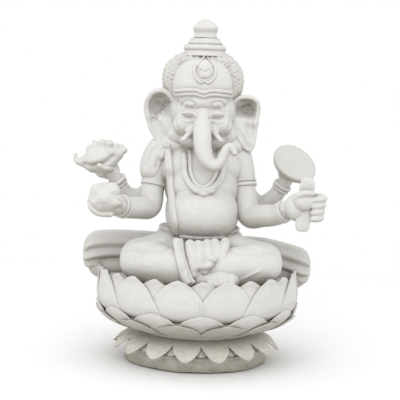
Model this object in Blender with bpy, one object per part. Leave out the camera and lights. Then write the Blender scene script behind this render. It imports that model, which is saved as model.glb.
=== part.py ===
"""Four-armed elephant-headed temple figure seated on a double lotus throne.

The figure is cast in white reconstituted marble, in sections that stack and
butt together on hidden stainless pins. The figure faces -Y and stands on Z = 0,
with the origin at the centre of the plinth's underside. Right and left are the
figure's own, so its right side is at -X.

Pieces are listed in order of precedence. Each piece is cut to the ones before
it, with the fit gap all round, so a pin makes its own socket, an ornament makes
its own groove in the stone, and a limb ends against the body that carries it.
"""
import math

import bmesh
import bpy
import numpy as np
from mathutils.bvhtree import BVHTree

MM = 0.001

# ---------------------------------------------------------------- clearances
FIT_GAP = 0.3 * MM          # round a pin, an ornament or a limb where it is let in
BED_GAP = 0.4 * MM          # between pieces that stack on a flat bed
BED_DEPTH = 2.5 * MM        # how deep an applied ornament sits in the stone

# ---------------------------------------------------------------- pins
SPINE_PIN_RADIUS = 8 * MM
NECK_PIN_RADIUS = 6 * MM
CROWN_PIN_RADIUS = 4 * MM
PIN_EMBED = 18 * MM         # how far a pin reaches into its last piece

# ---------------------------------------------------------------- lotus throne
PLINTH_RADIUS = 127 * MM
PLINTH_TAPER = 8 * MM
PLINTH_HEIGHT = 26 * MM
SKIRT_RADIUS = 151 * MM     # tips of the drooping petals
SKIRT_TOP_RADIUS = 114 * MM
SKIRT_HEIGHT = 26 * MM
SKIRT_DROP = 3.5 * MM       # how far the tips hang below the skirt's own bed
SKIRT_PETALS = 16
SKIRT_PHASE = -6.6          # degrees from the front to the first petal
WAIST_RADIUS = 104 * MM
WAIST_HEIGHT = 10 * MM
DISH_FOOT_RADIUS = 116 * MM
LOWER_DISH_RADIUS = 177 * MM
LOWER_DISH_HEIGHT = 33 * MM
LOWER_DISH_RISE = 14 * MM   # how far petal tips stand above the dish's floor
UPPER_DISH_RADIUS = 183 * MM
UPPER_DISH_HEIGHT = 44 * MM
UPPER_DISH_RISE = 16 * MM
DISH_PETALS = 13
UPPER_PHASE = -10.6
SEAT_INSET = 23 * MM        # from the bowl's edge in to the seat's edge
SEAT_RADIUS = UPPER_DISH_RADIUS - SEAT_INSET
SEAT_THICKNESS = 9 * MM
PETAL_STEPS = 4             # facets across one petal

# ---------------------------------------------------------------- body
HIP_WIDTH = 164 * MM
BELLY_WIDTH = 132 * MM
BELLY_DEPTH = 160 * MM
CHEST_WIDTH = 158 * MM
CHEST_DEPTH = 100 * MM
TORSO_HEIGHT = 248 * MM
NECK_WIDTH = 92 * MM
BODY_SIDES = 16

# ---------------------------------------------------------------- legs and cloth
KNEE_SPAN = 286 * MM        # across both knees
LEG_HEIGHT = 73 * MM
LEG_DEPTH = 112 * MM
LEG_FRONT = 128 * MM        # how far the shins reach in front of the axis
PLEAT_WIDTH = 66 * MM
SASH_WIDTH = 14 * MM
SASH_THICKNESS = 8.5 * MM
NECKLACE_LOW = 0.69         # its lowest point, as a share of the torso's height
PENDANT_DROP = 16.12 * MM   # from there down to the middle of the pendant
BOLSTER_SPAN = 416 * MM
BOLSTER_HEIGHT = 64 * MM
BOLSTER_DEPTH = 76 * MM
BOLSTER_BACK = 46 * MM

# ---------------------------------------------------------------- arms
SHOULDER_OUT = 77 * MM
SHOULDER_DROP = 32 * MM     # below the top of the torso
UPPER_ARM_RADIUS = 19 * MM
FOREARM_RADIUS = 18 * MM
WRIST_RADIUS = 14 * MM
BACK_ARM_SCALE = 0.88
ORNAMENT_RING = 4.5 * MM    # how far an armband or bracelet stands off the arm
LIMB_SIDES = 8

# ---------------------------------------------------------------- what the hands hold
SWEET_RADIUS = 25 * MM
TABLET_WIDTH = 24 * MM
TABLET_LENGTH = 90 * MM
TABLET_THICKNESS = 9 * MM
CONCH_LENGTH = 96 * MM
CONCH_RADIUS = 26 * MM
DISC_RADIUS = 41 * MM
DISC_THICKNESS = 12 * MM

# ---------------------------------------------------------------- head
HEAD_HEIGHT = 88 * MM
HEAD_WIDTH = 120 * MM
HEAD_DEPTH = 106 * MM
EAR_REACH = 100 * MM        # from the axis to the ear's edge
EAR_THICKNESS = 13 * MM
RIGHT_EAR_HEIGHT = 76 * MM
LEFT_EAR_HEIGHT = 94 * MM
TRUNK_RADIUS = 27 * MM
TUSK_RADIUS = 6.5 * MM
TUSK_LENGTH = 30 * MM

# ---------------------------------------------------------------- crown
CROWN_WIDTH = 140 * MM
CROWN_DEPTH = 104 * MM
CROWN_HEIGHT = 66 * MM
DOME_WIDTH = 112 * MM
DOME_DEPTH = 116 * MM
BROW_BAND_RADIUS = 5.5 * MM
CREST_WIDTH = 30 * MM
CREST_HEIGHT = 40 * MM
CREST_THICKNESS = 9 * MM
TIER_HEIGHT = 11 * MM
LOWER_TIER_RADIUS = 34.5 * MM
UPPER_TIER_RADIUS = 24 * MM
FINIAL_HEIGHT = 33.6 * MM
FINIAL_RADIUS = 20.5 * MM
TURNED_SIDES = 32

# ---------------------------------------------------------------- heights of the stack
SKIRT_Z = PLINTH_HEIGHT + BED_GAP
WAIST_Z = SKIRT_Z + SKIRT_HEIGHT + BED_GAP
LOWER_DISH_Z = WAIST_Z + WAIST_HEIGHT + BED_GAP
UPPER_DISH_Z = LOWER_DISH_Z + LOWER_DISH_HEIGHT + BED_GAP
SEAT_Z = UPPER_DISH_Z + UPPER_DISH_HEIGHT + BED_GAP
BODY_Z = SEAT_Z + SEAT_THICKNESS + BED_GAP
HEAD_Z = BODY_Z + TORSO_HEIGHT + BED_GAP
CROWN_Z = HEAD_Z + HEAD_HEIGHT + BED_GAP
LOWER_TIER_Z = CROWN_Z + CROWN_HEIGHT + BED_GAP
UPPER_TIER_Z = LOWER_TIER_Z + TIER_HEIGHT + BED_GAP
FINIAL_Z = UPPER_TIER_Z + TIER_HEIGHT + BED_GAP
SHOULDER_Z = BODY_Z + TORSO_HEIGHT - SHOULDER_DROP


# ================================================================ materials
def finish(name, colour, roughness, metallic=0.0):
    """Principled material with one colour."""
    material = bpy.data.materials.new(name)
    material.use_nodes = True
    shader = material.node_tree.nodes["Principled BSDF"]
    shader.inputs["Base Color"].default_value = (*colour, 1.0)
    shader.inputs["Roughness"].default_value = roughness
    shader.inputs["Metallic"].default_value = metallic
    return material


# ================================================================ solid makers
def place_mesh(name, bm, material):
    """Turn a closed bmesh into a named object, facing outwards."""
    bmesh.ops.remove_doubles(bm, verts=bm.verts, dist=1e-6)
    bmesh.ops.recalc_face_normals(bm, faces=bm.faces)
    bmesh.ops.triangulate(bm, faces=bm.faces)
    mesh = bpy.data.meshes.new(name)
    bm.to_mesh(mesh)
    bm.free()
    mesh.shade_smooth()
    mesh.set_sharp_from_angle(angle=math.radians(40))
    mesh.materials.append(material)
    piece = bpy.data.objects.new(name, mesh)
    bpy.context.collection.objects.link(piece)
    return piece


def loft(name, rings, material):
    """Skin a row of rings, each an N by 3 array, and close both ends flat."""
    bm = bmesh.new()
    loops = [[bm.verts.new(point) for point in ring] for ring in rings]
    for low, high in zip(loops, loops[1:]):
        for i, vertex in enumerate(low):
            j = (i + 1) % len(low)
            bm.faces.new((vertex, low[j], high[j], high[i]))
    bm.faces.new(reversed(loops[0]))
    bm.faces.new(loops[-1])
    return place_mesh(name, bm, material)


def closed_loft(name, rings, material):
    """Skin a row of rings that ends where it began, like a bangle."""
    bm = bmesh.new()
    loops = [[bm.verts.new(point) for point in ring] for ring in rings]
    for low, high in zip(loops, loops[1:] + loops[:1]):
        for i, vertex in enumerate(low):
            j = (i + 1) % len(low)
            bm.faces.new((vertex, low[j], high[j], high[i]))
    return place_mesh(name, bm, material)


def turned(name, profile, material, steps=TURNED_SIDES):
    """Turn a profile about Z. profile(angle) gives (radius, height) points, axis to axis."""
    angles = [2 * math.pi * k / steps for k in range(steps)]
    columns = []
    bm = bmesh.new()
    for angle in angles:
        points = [(r * math.sin(angle), -r * math.cos(angle), z) for r, z in profile(angle)]
        columns.append([bm.verts.new(point) for point in points])
    for near, far in zip(columns, columns[1:] + columns[:1]):
        for i in range(len(near) - 1):
            bm.faces.new((near[i], far[i], far[i + 1], near[i + 1]))
    return place_mesh(name, bm, material)


def oval(centre, half_a, half_b, axis_a=(1, 0, 0), axis_b=(0, 1, 0), sides=BODY_SIDES, power=2.0):
    """Superellipse ring: power 2 is an ellipse, and a higher power is squarer."""
    turn = 2 * math.pi * np.arange(sides) / sides
    along = half_a * np.sign(np.cos(turn)) * np.abs(np.cos(turn)) ** (2 / power)
    across = half_b * np.sign(np.sin(turn)) * np.abs(np.sin(turn)) ** (2 / power)
    return np.asarray(centre) + np.outer(along, axis_a) + np.outer(across, axis_b)


def smooth_path(points, steps):
    """Catmull-Rom curve through the points, with some steps per span."""
    points = np.asarray(points, float)
    padded = np.vstack([2 * points[0] - points[1], points, 2 * points[-1] - points[-2]])
    spans = []
    for a, b, c, d in zip(padded, padded[1:], padded[2:], padded[3:]):
        t = np.arange(steps)[:, None] / steps
        spans.append(0.5 * (2 * b + (c - a) * t + (2 * a - 5 * b + 4 * c - d) * t ** 2
                            + (3 * b - a - 3 * c + d) * t ** 3))
    return np.vstack(spans + [points[-1:]])


def path_frames(path, hint):
    """Tangent, side and lift of each point of a path; lift stays close to the hint."""
    tangent = np.gradient(path, axis=0)
    tangent /= np.linalg.norm(tangent, axis=1)[:, None]
    side = np.cross(tangent, np.asarray(hint, float))
    side /= np.linalg.norm(side, axis=1)[:, None]
    return tangent, side, np.cross(side, tangent)


def tube(name, points, radii, material, steps=2, sides=LIMB_SIDES, hint=(0, 1, 0), domed=True):
    """Round bar along a smooth path, with a radius at each point and a domed end or two."""
    path = smooth_path(points, steps)
    radius = np.interp(np.linspace(0, len(points) - 1, len(path)), range(len(points)), radii)
    tangent, side, lift = path_frames(path, hint)
    rings = [oval(p, r, r, s, u, sides) for p, r, s, u in zip(path, radius, side, lift)]
    for share, shrink in ((0.5, 0.866), (0.866, 0.5)):
        first, last = radius[0], radius[-1]
        if domed:
            rings.insert(0, oval(path[0] - tangent[0] * first * share, first * shrink,
                                 first * shrink, side[0], lift[0], sides))
        rings.append(oval(path[-1] + tangent[-1] * last * share, last * shrink,
                          last * shrink, side[-1], lift[-1], sides))
    return loft(name, rings, material)


def egg(name, centre, halves, material, sides=12, rows=7, power=2.0):
    """Ellipsoid about a centre, as rings up Z with small flat poles."""
    turn = np.linspace(-0.46 * math.pi, 0.46 * math.pi, rows)
    rings = [oval((centre[0], centre[1], centre[2] + halves[2] * math.sin(a)),
                  halves[0] * math.cos(a), halves[1] * math.cos(a), sides=sides, power=power)
             for a in turn]
    return loft(name, rings, material)


def pin(name, centre, radius, low, high, material):
    """Upright round pin."""
    rings = [oval((centre[0], centre[1], z), radius, radius, sides=15) for z in (low, high)]
    return loft(name, rings, material)


# ================================================================ cutting to fit
def grown_copy(piece, gap):
    """Copy of a piece with its faces moved out by the gap."""
    bm = bmesh.new()
    bm.from_mesh(piece.data)
    bm.normal_update()
    shifts = [vertex.normal * vertex.calc_shell_factor() * gap for vertex in bm.verts]
    for vertex, shift in zip(bm.verts, shifts):
        vertex.co += shift
    mesh = bpy.data.meshes.new("cutter")
    bm.to_mesh(mesh)
    bm.free()
    cutter = bpy.data.objects.new("cutter", mesh)
    cutter.hide_render = True
    cutter.display_type = "WIRE"
    bpy.context.collection.objects.link(cutter)
    return cutter


def surfaces_cross(piece, cutter):
    """Whether the two surfaces touch anywhere."""
    trees = []
    for shape in (piece, cutter):
        bm = bmesh.new()
        bm.from_mesh(shape.data)
        trees.append(BVHTree.FromBMesh(bm))
        bm.free()
    return bool(trees[0].overlap(trees[1]))


def keep_modified(piece):
    """Replace a piece's mesh by the one that its modifiers make."""
    bpy.context.view_layer.update()
    depsgraph = bpy.context.evaluated_depsgraph_get()
    result = bpy.data.meshes.new_from_object(piece.evaluated_get(depsgraph))
    before = piece.data
    piece.modifiers.clear()
    piece.data = result
    bpy.data.meshes.remove(before)
    result.name = piece.name


def merge_flat_facets(piece):
    """Join the facets that lie in one plane, where the piece stays closed without them."""
    bm = bmesh.new()
    bm.from_mesh(piece.data)
    bmesh.ops.dissolve_limit(bm, angle_limit=math.radians(0.05), verts=bm.verts, edges=bm.edges)
    bmesh.ops.triangulate(bm, faces=bm.faces)
    if all(len(edge.link_faces) == 2 for edge in bm.edges):
        bm.to_mesh(piece.data)
    bm.free()


def cut_to_fit(piece, neighbour):
    """Cut the neighbour's shape and the fit gap out of the piece where they meet."""
    cutter = grown_copy(neighbour, FIT_GAP)
    if surfaces_cross(piece, cutter):
        boolean = piece.modifiers.new("fit", "BOOLEAN")
        boolean.operation = "DIFFERENCE"
        boolean.solver = "EXACT"
        boolean.object = cutter
        keep_modified(piece)
    bpy.data.objects.remove(cutter)


# ================================================================ lotus throne
def petal_wave(angle, count, phase):
    """1 at a petal's middle and 0 between two petals."""
    swing = abs(math.sin(0.5 * count * (angle - math.radians(phase))))
    return 1.0 - swing ** 1.6


def make_plinth(stone):
    top = PLINTH_RADIUS - PLINTH_TAPER
    outline = [(0, 0), (PLINTH_RADIUS, 0), (PLINTH_RADIUS, 0.2 * PLINTH_HEIGHT),
               (top, PLINTH_HEIGHT), (0, PLINTH_HEIGHT)]
    return turned("plinth", lambda angle: outline, stone)


def make_skirt(stone):
    """Ring of drooping petals, whose tips hang outside the plinth."""
    inner = PLINTH_RADIUS + 4 * MM
    bed = SKIRT_Z
    top = SKIRT_Z + SKIRT_HEIGHT
    valley_radius = inner + 0.45 * (SKIRT_RADIUS - inner)

    def outline(angle):
        wave = petal_wave(angle, SKIRT_PETALS, SKIRT_PHASE)
        reach = valley_radius + wave * (SKIRT_RADIUS - valley_radius)
        tip = bed + 0.35 * SKIRT_HEIGHT - wave * (0.35 * SKIRT_HEIGHT + SKIRT_DROP)
        return [(0, bed), (inner - 6 * MM, bed), (inner, tip + 2 * MM),
                (reach - 5 * MM, tip), (reach, tip + 3 * MM),
                (0.5 * (reach + SKIRT_TOP_RADIUS) + 4 * MM, bed + 0.8 * SKIRT_HEIGHT),
                (SKIRT_TOP_RADIUS, top), (0, top)]

    return turned("drooping_petal_ring", outline, stone, SKIRT_PETALS * PETAL_STEPS)


def make_waist(stone):
    low, high = WAIST_Z, WAIST_Z + WAIST_HEIGHT
    pinch = WAIST_RADIUS - 0.3 * WAIST_HEIGHT
    outline = [(0, low), (WAIST_RADIUS, low), (pinch, 0.5 * (low + high)),
               (WAIST_RADIUS, high), (0, high)]
    return turned("waist_drum", lambda angle: outline, stone)


def make_dish(name, foot_radius, foot_z, floor_z, radius, rise, phase, stone):
    """Dish whose rim is a row of upright petals standing above its flat floor."""
    def outline(angle):
        wave = petal_wave(angle, DISH_PETALS, phase)
        reach = radius - (1 - wave) * 7 * MM
        tip = floor_z + 0.1 * rise + wave * 0.9 * rise
        middle = 0.5 * (foot_z + floor_z)
        return [(0, foot_z), (foot_radius, foot_z),
                (foot_radius + 0.72 * (reach - foot_radius), middle - 2 * MM),
                (reach, floor_z), (reach - 1 * MM, 0.5 * (floor_z + tip)),
                (reach - 4 * MM, tip), (reach - 9 * MM, tip - 0.5 * MM),
                (radius - 17 * MM, floor_z), (0, floor_z)]

    return turned(name, outline, stone, DISH_PETALS * PETAL_STEPS)


def make_seat(stone):
    low, high = SEAT_Z, SEAT_Z + SEAT_THICKNESS
    outline = [(0, low), (SEAT_RADIUS, low), (SEAT_RADIUS, high - 3 * MM),
               (SEAT_RADIUS - 3 * MM, high), (0, high)]
    return turned("seat_disc", lambda angle: outline, stone)


# ================================================================ body
def torso_sections():
    """Height, centre Y, half width and half depth of the torso, bottom to top."""
    shares = [(0.00, 12 * MM, 0.50 * HIP_WIDTH, 0.32 * BELLY_DEPTH),
              (0.14, 10 * MM, 0.50 * HIP_WIDTH, 0.38 * BELLY_DEPTH),
              (0.28, 0, 0.44 * HIP_WIDTH, 0.46 * BELLY_DEPTH),
              (0.40, -8 * MM, 0.50 * BELLY_WIDTH, 0.50 * BELLY_DEPTH),
              (0.52, -9 * MM, 0.50 * BELLY_WIDTH, 0.49 * BELLY_DEPTH),
              (0.64, -6 * MM, 0.50 * BELLY_WIDTH, 0.44 * BELLY_DEPTH),
              (0.76, -1 * MM, 0.46 * CHEST_WIDTH, 0.60 * CHEST_DEPTH),
              (0.88, 3 * MM, 0.50 * CHEST_WIDTH, 0.50 * CHEST_DEPTH),
              (0.96, 4 * MM, 0.42 * CHEST_WIDTH, 0.43 * CHEST_DEPTH),
              (1.00, 2 * MM, 0.50 * NECK_WIDTH, 0.38 * CHEST_DEPTH)]
    return np.array([(BODY_Z + share * TORSO_HEIGHT, y, a, b) for share, y, a, b in shares])


def torso_front(x, z):
    """Y of the torso's front surface at a given place."""
    sections = torso_sections()
    centre, half_a, half_b = (np.interp(z, sections[:, 0], sections[:, k]) for k in (1, 2, 3))
    return centre - half_b * math.sqrt(max(0.02, 1 - (x / half_a) ** 2))


def make_torso(stone):
    rings = [oval((0, y, z), a, b) for z, y, a, b in torso_sections()]
    return loft("torso", rings, stone)


def make_leg(name, side, stone):
    """Folded leg, from the middle of the lap out to the rounded knee."""
    half = 0.5 * KNEE_SPAN
    low = BODY_Z - 3 * MM
    shares = [(0.0, 0.40, 0.62), (0.25, 0.48, 0.74), (0.5, 0.50, 0.92), (0.7, 0.48, 1.0),
              (0.84, 0.42, 0.96), (0.94, 0.30, 0.74), (0.985, 0.16, 0.45)]
    rings = []
    for out, depth, height in shares:
        half_height = 0.5 * height * (LEG_HEIGHT + 6 * MM)
        z = low + 0.5 * LEG_HEIGHT - (1 - height) * 0.28 * LEG_HEIGHT
        centre = (side * (FIT_GAP + out * half), 0.5 * LEG_DEPTH - LEG_FRONT, z)
        rings.append(oval(centre, depth * LEG_DEPTH, half_height,
                          (0, 1, 0), (0, 0, 1), BODY_SIDES, 2.3))
    return loft(name, rings, stone)


def make_foot(stone):
    """Foot of the crossed left leg, lying across the middle of the lap."""
    y = -LEG_FRONT - 2 * MM
    z = BODY_Z + 0.2 * LEG_HEIGHT
    points = [(-0.12 * KNEE_SPAN, y + 16 * MM, z + 4 * MM), (0, y + 4 * MM, z),
              (0.12 * KNEE_SPAN, y + 8 * MM, z - 2 * MM)]
    return tube("crossed_foot", points, [15 * MM, 15 * MM, 11 * MM], stone, hint=(0, 0, 1))


def make_pleats(stone):
    """Knot and fan of pleats that fall from the waist between the shins."""
    top = BODY_Z + 0.3 * TORSO_HEIGHT
    foot_y = -LEG_FRONT - 12 * MM
    start_y = torso_front(0.5 * PLEAT_WIDTH, top)
    stations = [(0.55, 0.42, 0.0, 0.0), (0.55, 0.44, 0.35, 0.45), (0.5, 0.47, 0.62, 0.8),
                (0.45, 0.5, 0.85, 0.97), (0.42, 0.5, 0.97, 1.0)]
    rings = []
    for middle, half, fall, forward in stations:
        centre = (middle * PLEAT_WIDTH, start_y + forward * (foot_y - start_y),
                  top - fall * (top - BODY_Z))
        rings.append(oval(centre, half * PLEAT_WIDTH, 15 * MM,
                          (1, 0, 0), (0, 0.8, 0.6), BODY_SIDES, 2.6))
    return loft("front_pleats", rings, stone)


def make_bolster(name, side, stone):
    """Half of the rolled drape behind the hips, with its flared end."""
    half = 0.5 * BOLSTER_SPAN
    stations = [(0.0, 0.86), (0.45, 0.9), (0.75, 1.0), (0.9, 1.0), (0.97, 0.8), (1.0, 0.55)]
    rings = []
    for out, size in stations:
        z = BODY_Z + (0.46 if out < 0.5 else 0.6 if out < 0.95 else 0.5) * BOLSTER_HEIGHT
        rings.append(oval((side * (FIT_GAP + out * half), BOLSTER_BACK, z),
                          0.5 * size * BOLSTER_DEPTH, 0.5 * size * BOLSTER_HEIGHT,
                          (0, 1, 0), (0, 0, 1), BODY_SIDES, 2.4))
    return loft(name, rings, stone)


# ================================================================ arms
def arm_points():
    """Named stations of the arms, with X measured outwards from the axis."""
    return {
        "right_front": [(SHOULDER_OUT, 0, SHOULDER_Z), (90 * MM, -6 * MM, SHOULDER_Z - 42 * MM),
                        (98 * MM, -20 * MM, SHOULDER_Z - 92 * MM),
                        (126 * MM, -62 * MM, SHOULDER_Z - 89 * MM),
                        (145 * MM, -82 * MM, SHOULDER_Z - 84 * MM)],
        "left_front": [(SHOULDER_OUT, 0, SHOULDER_Z), (86 * MM, -6 * MM, SHOULDER_Z - 44 * MM),
                       (98 * MM, -20 * MM, SHOULDER_Z - 104 * MM),
                       (130 * MM, -62 * MM, SHOULDER_Z - 96 * MM),
                       (152 * MM, -80 * MM, SHOULDER_Z - 84 * MM)],
        "right_back": [(64 * MM, 30 * MM, SHOULDER_Z - 16 * MM),
                       (92 * MM, 40 * MM, SHOULDER_Z - 50 * MM),
                       (116 * MM, 40 * MM, SHOULDER_Z - 66 * MM),
                       (138 * MM, 32 * MM, SHOULDER_Z - 56 * MM),
                       (149 * MM, 24 * MM, SHOULDER_Z - 36 * MM)],
        "left_back": [(62 * MM, 30 * MM, SHOULDER_Z - 16 * MM),
                      (88 * MM, 40 * MM, SHOULDER_Z - 54 * MM),
                      (110 * MM, 40 * MM, SHOULDER_Z - 72 * MM),
                      (134 * MM, 30 * MM, SHOULDER_Z - 58 * MM),
                      (148 * MM, 22 * MM, SHOULDER_Z - 42 * MM)],
    }


def mirrored(points, side):
    """Points with X turned outwards on the given side."""
    return [(side * x, y, z) for x, y, z in points]


def make_arm(arm, side, stone):
    """Upper arm and forearm of one arm, with the bands that they wear."""
    stations = mirrored(arm_points()[arm], side)
    scale = BACK_ARM_SCALE if arm.endswith("back") else 1.0
    upper = scale * UPPER_ARM_RADIUS
    fore = scale * FOREARM_RADIUS
    wrist = scale * WRIST_RADIUS
    shoulder = 1.35 * upper if scale == 1.0 else upper
    pieces = [tube(f"{arm}_upper_arm", stations[:3], [shoulder, upper, upper], stone, 2),
              tube(f"{arm}_forearm", stations[2:], [0.8 * upper, fore, wrist], stone, 2,
                   domed=False)]
    if scale == 1.0:
        pieces.append(make_band(f"{arm}_armband", stations[0], stations[1], upper, stone, 0.98))
    pieces.append(make_band(f"{arm}_bracelet", stations[3], stations[4], wrist, stone, 0.9))
    return pieces


def make_band(name, start, end, radius, stone, share):
    """Band round a limb, before the limb is cut out of it."""
    start, end = np.array(start), np.array(end)
    along = (end - start) / np.linalg.norm(end - start)
    middle = start + share * (end - start)
    across = np.cross(along, (0, 1, 0))
    across /= np.linalg.norm(across)
    outer = radius + ORNAMENT_RING
    rings = [oval(middle + offset * along, size, size, across, np.cross(along, across), LIMB_SIDES)
             for offset, size in ((-4 * MM, 0.93 * outer), (0, outer), (4 * MM, 0.93 * outer))]
    return loft(name, rings, stone)


def make_shawl(stone):
    """Cloth over the right shoulder and the top of the arm."""
    start, end = mirrored(arm_points()["right_front"][:2], -1)
    points = [start, tuple(0.5 * (np.array(start) + np.array(end)))]
    return tube("shoulder_shawl", points,
                [1.35 * UPPER_ARM_RADIUS + 5 * MM, 1.15 * UPPER_ARM_RADIUS + 6 * MM], stone)


# ================================================================ hands and what they hold
def hand_centre(arm, side):
    """Middle of a hand, just past the wrist."""
    elbow_side, wrist = (np.array(point) for point in arm_points()[arm][3:])
    along = (wrist - elbow_side) / np.linalg.norm(wrist - elbow_side)
    centre = wrist + along * 22 * MM
    return np.array((side * centre[0], centre[1], centre[2]))


def make_sweet(stone):
    centre = hand_centre("right_front", -1) + np.array((0, -14, 8)) * MM
    return egg("sweet_ball", centre, (SWEET_RADIUS,) * 3, stone, 16, 8)


def make_tablet(stone):
    """Flat bar with a wider rounded foot, standing in the closed hand."""
    centre = hand_centre("left_front", 1) + np.array((12, -18, -2)) * MM
    stations = [(-0.5, 0.32), (-0.46, 0.47), (-0.3, 0.5), (0.0, 0.4), (0.3, 0.44), (0.46, 0.46),
                (0.5, 0.34)]
    rings = [oval(centre + np.array((0.1 * share * TABLET_LENGTH, 0, share * TABLET_LENGTH)),
                  half * TABLET_WIDTH, 0.5 * TABLET_THICKNESS, sides=12, power=4.0)
             for share, half in stations]
    return loft("writing_tablet", rings, stone)


def make_conch(stone):
    """Spiral shell lying on the raised hand, mouth tip outwards."""
    start = hand_centre("right_back", -1) + np.array((24, 0, 20)) * MM
    along = np.array((-0.975, 0.0, -0.22))
    stations = [(0.0, 0.2), (0.12, 0.45), (0.3, 0.86), (0.48, 1.0), (0.66, 0.78),
                (0.82, 0.42), (0.94, 0.25), (1.0, 0.16)]
    rings = [oval(start + along * share * CONCH_LENGTH, size * CONCH_RADIUS, size * CONCH_RADIUS,
                  (0, 1, 0), (0, 0, 1), 12) for share, size in stations]
    return loft("conch", rings, stone)


def make_disc(stone):
    """Thick round disc tilted on the raised hand."""
    centre = hand_centre("left_back", 1) + np.array((8, -6, 22)) * MM
    normal = np.array((0.39, -0.61, 0.67))
    normal /= np.linalg.norm(normal)
    across = np.cross(normal, (0, 1, 0))
    across /= np.linalg.norm(across)
    rings = [oval(centre + offset * DISC_THICKNESS * normal, size * DISC_RADIUS,
                  size * DISC_RADIUS, across, np.cross(normal, across), 20)
             for offset, size in ((-0.5, 0.82), (-0.15, 0.98), (0.2, 1.0), (0.42, 0.95), (0.5, 0.7))]
    return loft("disc", rings, stone)


def make_hand(arm, side, halves, shift, stone):
    """Closed hand, before the wrist and what it holds are cut out of it."""
    centre = hand_centre(arm, side) + np.array(shift) * MM
    return egg(f"{arm}_hand", centre, np.array(halves) * MM, stone, 12, 7, 2.4)


# ================================================================ applied ornament
def make_belly_band(stone):
    """Cord round the belly, bedded in the stone."""
    z = BODY_Z + 0.33 * TORSO_HEIGHT
    sections = torso_sections()
    centre_y, half_a, half_b = (np.interp(z, sections[:, 0], sections[:, k]) for k in (1, 2, 3))
    radius = 3.6 * MM
    stand_off = radius - BED_DEPTH
    rings = []
    for turn in 2 * math.pi * np.arange(BODY_SIDES) / BODY_SIDES:
        out = np.array((math.cos(turn) / half_a, math.sin(turn) / half_b, 0))
        out /= np.linalg.norm(out)
        centre = np.array((half_a * math.cos(turn), centre_y + half_b * math.sin(turn), z))
        rings.append(oval(centre + out * stand_off, radius, radius, out, (0, 0, 1), 6))
    return closed_loft("belly_band", rings, stone)


def on_torso(places):
    """Points on the torso's front for some places, given as (X, share of its height)."""
    heights = [BODY_Z + share * TORSO_HEIGHT for x, share in places]
    return [(x, torso_front(x, z), z) for (x, share), z in zip(places, heights)]


def make_strip(name, points, width, thickness, stone):
    """Flat strip along a surface's points, bedded in the stone behind it."""
    path = smooth_path(points, 2)
    tangent, side, lift = path_frames(path, (0, -1, 0.3))
    centres = path + lift * (0.5 * thickness - BED_DEPTH)
    rings = [[c + 0.5 * (a * width * s + b * thickness * u)
              for a, b in ((1, 1), (-1, 1), (-1, -1), (1, -1))]
             for c, s, u in zip(centres, side, lift)]
    return loft(name, rings, stone)


def make_sash(stone):
    """Long strip from the right shoulder down to the lap."""
    points = on_torso([(-52 * MM, 0.94), (-52 * MM, 0.8), (-50 * MM, 0.62), (-45 * MM, 0.45),
                       (-39 * MM, 0.31)])
    return make_strip("long_sash", points, SASH_WIDTH, SASH_THICKNESS, stone)


def make_sash_tail(stone):
    """Lower end of the sash, over the right shin and down to the lotus."""
    start = on_torso([(-39 * MM, 0.3)])[0]
    points = [(start[0], start[1] - 4 * MM, start[2] - SASH_THICKNESS),
              (-31 * MM, 20 * MM - LEG_FRONT, BODY_Z + 0.82 * LEG_HEIGHT),
              (-22 * MM, 1 * MM - LEG_FRONT, BODY_Z + 0.45 * LEG_HEIGHT),
              (-14 * MM, 0 * MM - LEG_FRONT, BODY_Z + 0.08 * LEG_HEIGHT)]
    return make_strip("sash_tail", points, SASH_WIDTH, SASH_THICKNESS, stone)


def make_necklace(stone):
    """Heavy collar chain hanging to the pendant."""
    points = on_torso([(-38 * MM, 0.95), (-36 * MM, 0.86), (-18 * MM, 0.73), (4 * MM, NECKLACE_LOW),
                       (24 * MM, 0.73), (38 * MM, 0.86), (40 * MM, 0.95)])
    return make_strip("necklace", points, 8 * MM, 7 * MM, stone)


def make_pendant(stone):
    """Egg-shaped pendant under the lowest point of the chain."""
    x, z = 5 * MM, BODY_Z + NECKLACE_LOW * TORSO_HEIGHT - PENDANT_DROP
    centre = (x, torso_front(x, z) - 2 * MM, z)
    return egg("pendant", centre, (11 * MM, 6 * MM, 16 * MM), stone, 12, 6)


# ================================================================ head
def make_head(stone):
    shares = [(0.0, -6 * MM, 0.42, 0.42), (0.08, -10 * MM, 0.46, 0.46), (0.3, -10 * MM, 0.47, 0.49),
              (0.55, -10 * MM, 0.49, 0.5), (0.8, -8 * MM, 0.5, 0.5), (1.0, -4 * MM, 0.48, 0.48)]
    rings = [oval((0, y, HEAD_Z + share * HEAD_HEIGHT), a * HEAD_WIDTH, b * HEAD_DEPTH)
             for share, y, a, b in shares]
    return loft("head", rings, stone)


def make_trunk(stone):
    """Trunk that hangs over the chest and curls up to the figure's left."""
    face = -10 * MM - 0.5 * HEAD_DEPTH
    top = HEAD_Z + 0.56 * HEAD_HEIGHT
    points = [(0, face + 10 * MM, top), (0, face - 20 * MM, top - 20 * MM),
              (2 * MM, face - 38 * MM, top - 46 * MM), (9 * MM, face - 44 * MM, top - 70 * MM),
              (22 * MM, face - 46 * MM, top - 84 * MM), (37 * MM, face - 46 * MM, top - 80 * MM),
              (44 * MM, face - 45 * MM, top - 66 * MM), (53 * MM, face - 44 * MM, top - 61 * MM),
              (61 * MM, face - 43 * MM, top - 70 * MM)]
    shares = [1.0, 0.92, 0.7, 0.57, 0.5, 0.42, 0.36, 0.3, 0.22]
    return tube("trunk", points, [share * TRUNK_RADIUS for share in shares], stone,
                hint=(0, 1, 0.35))


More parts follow.
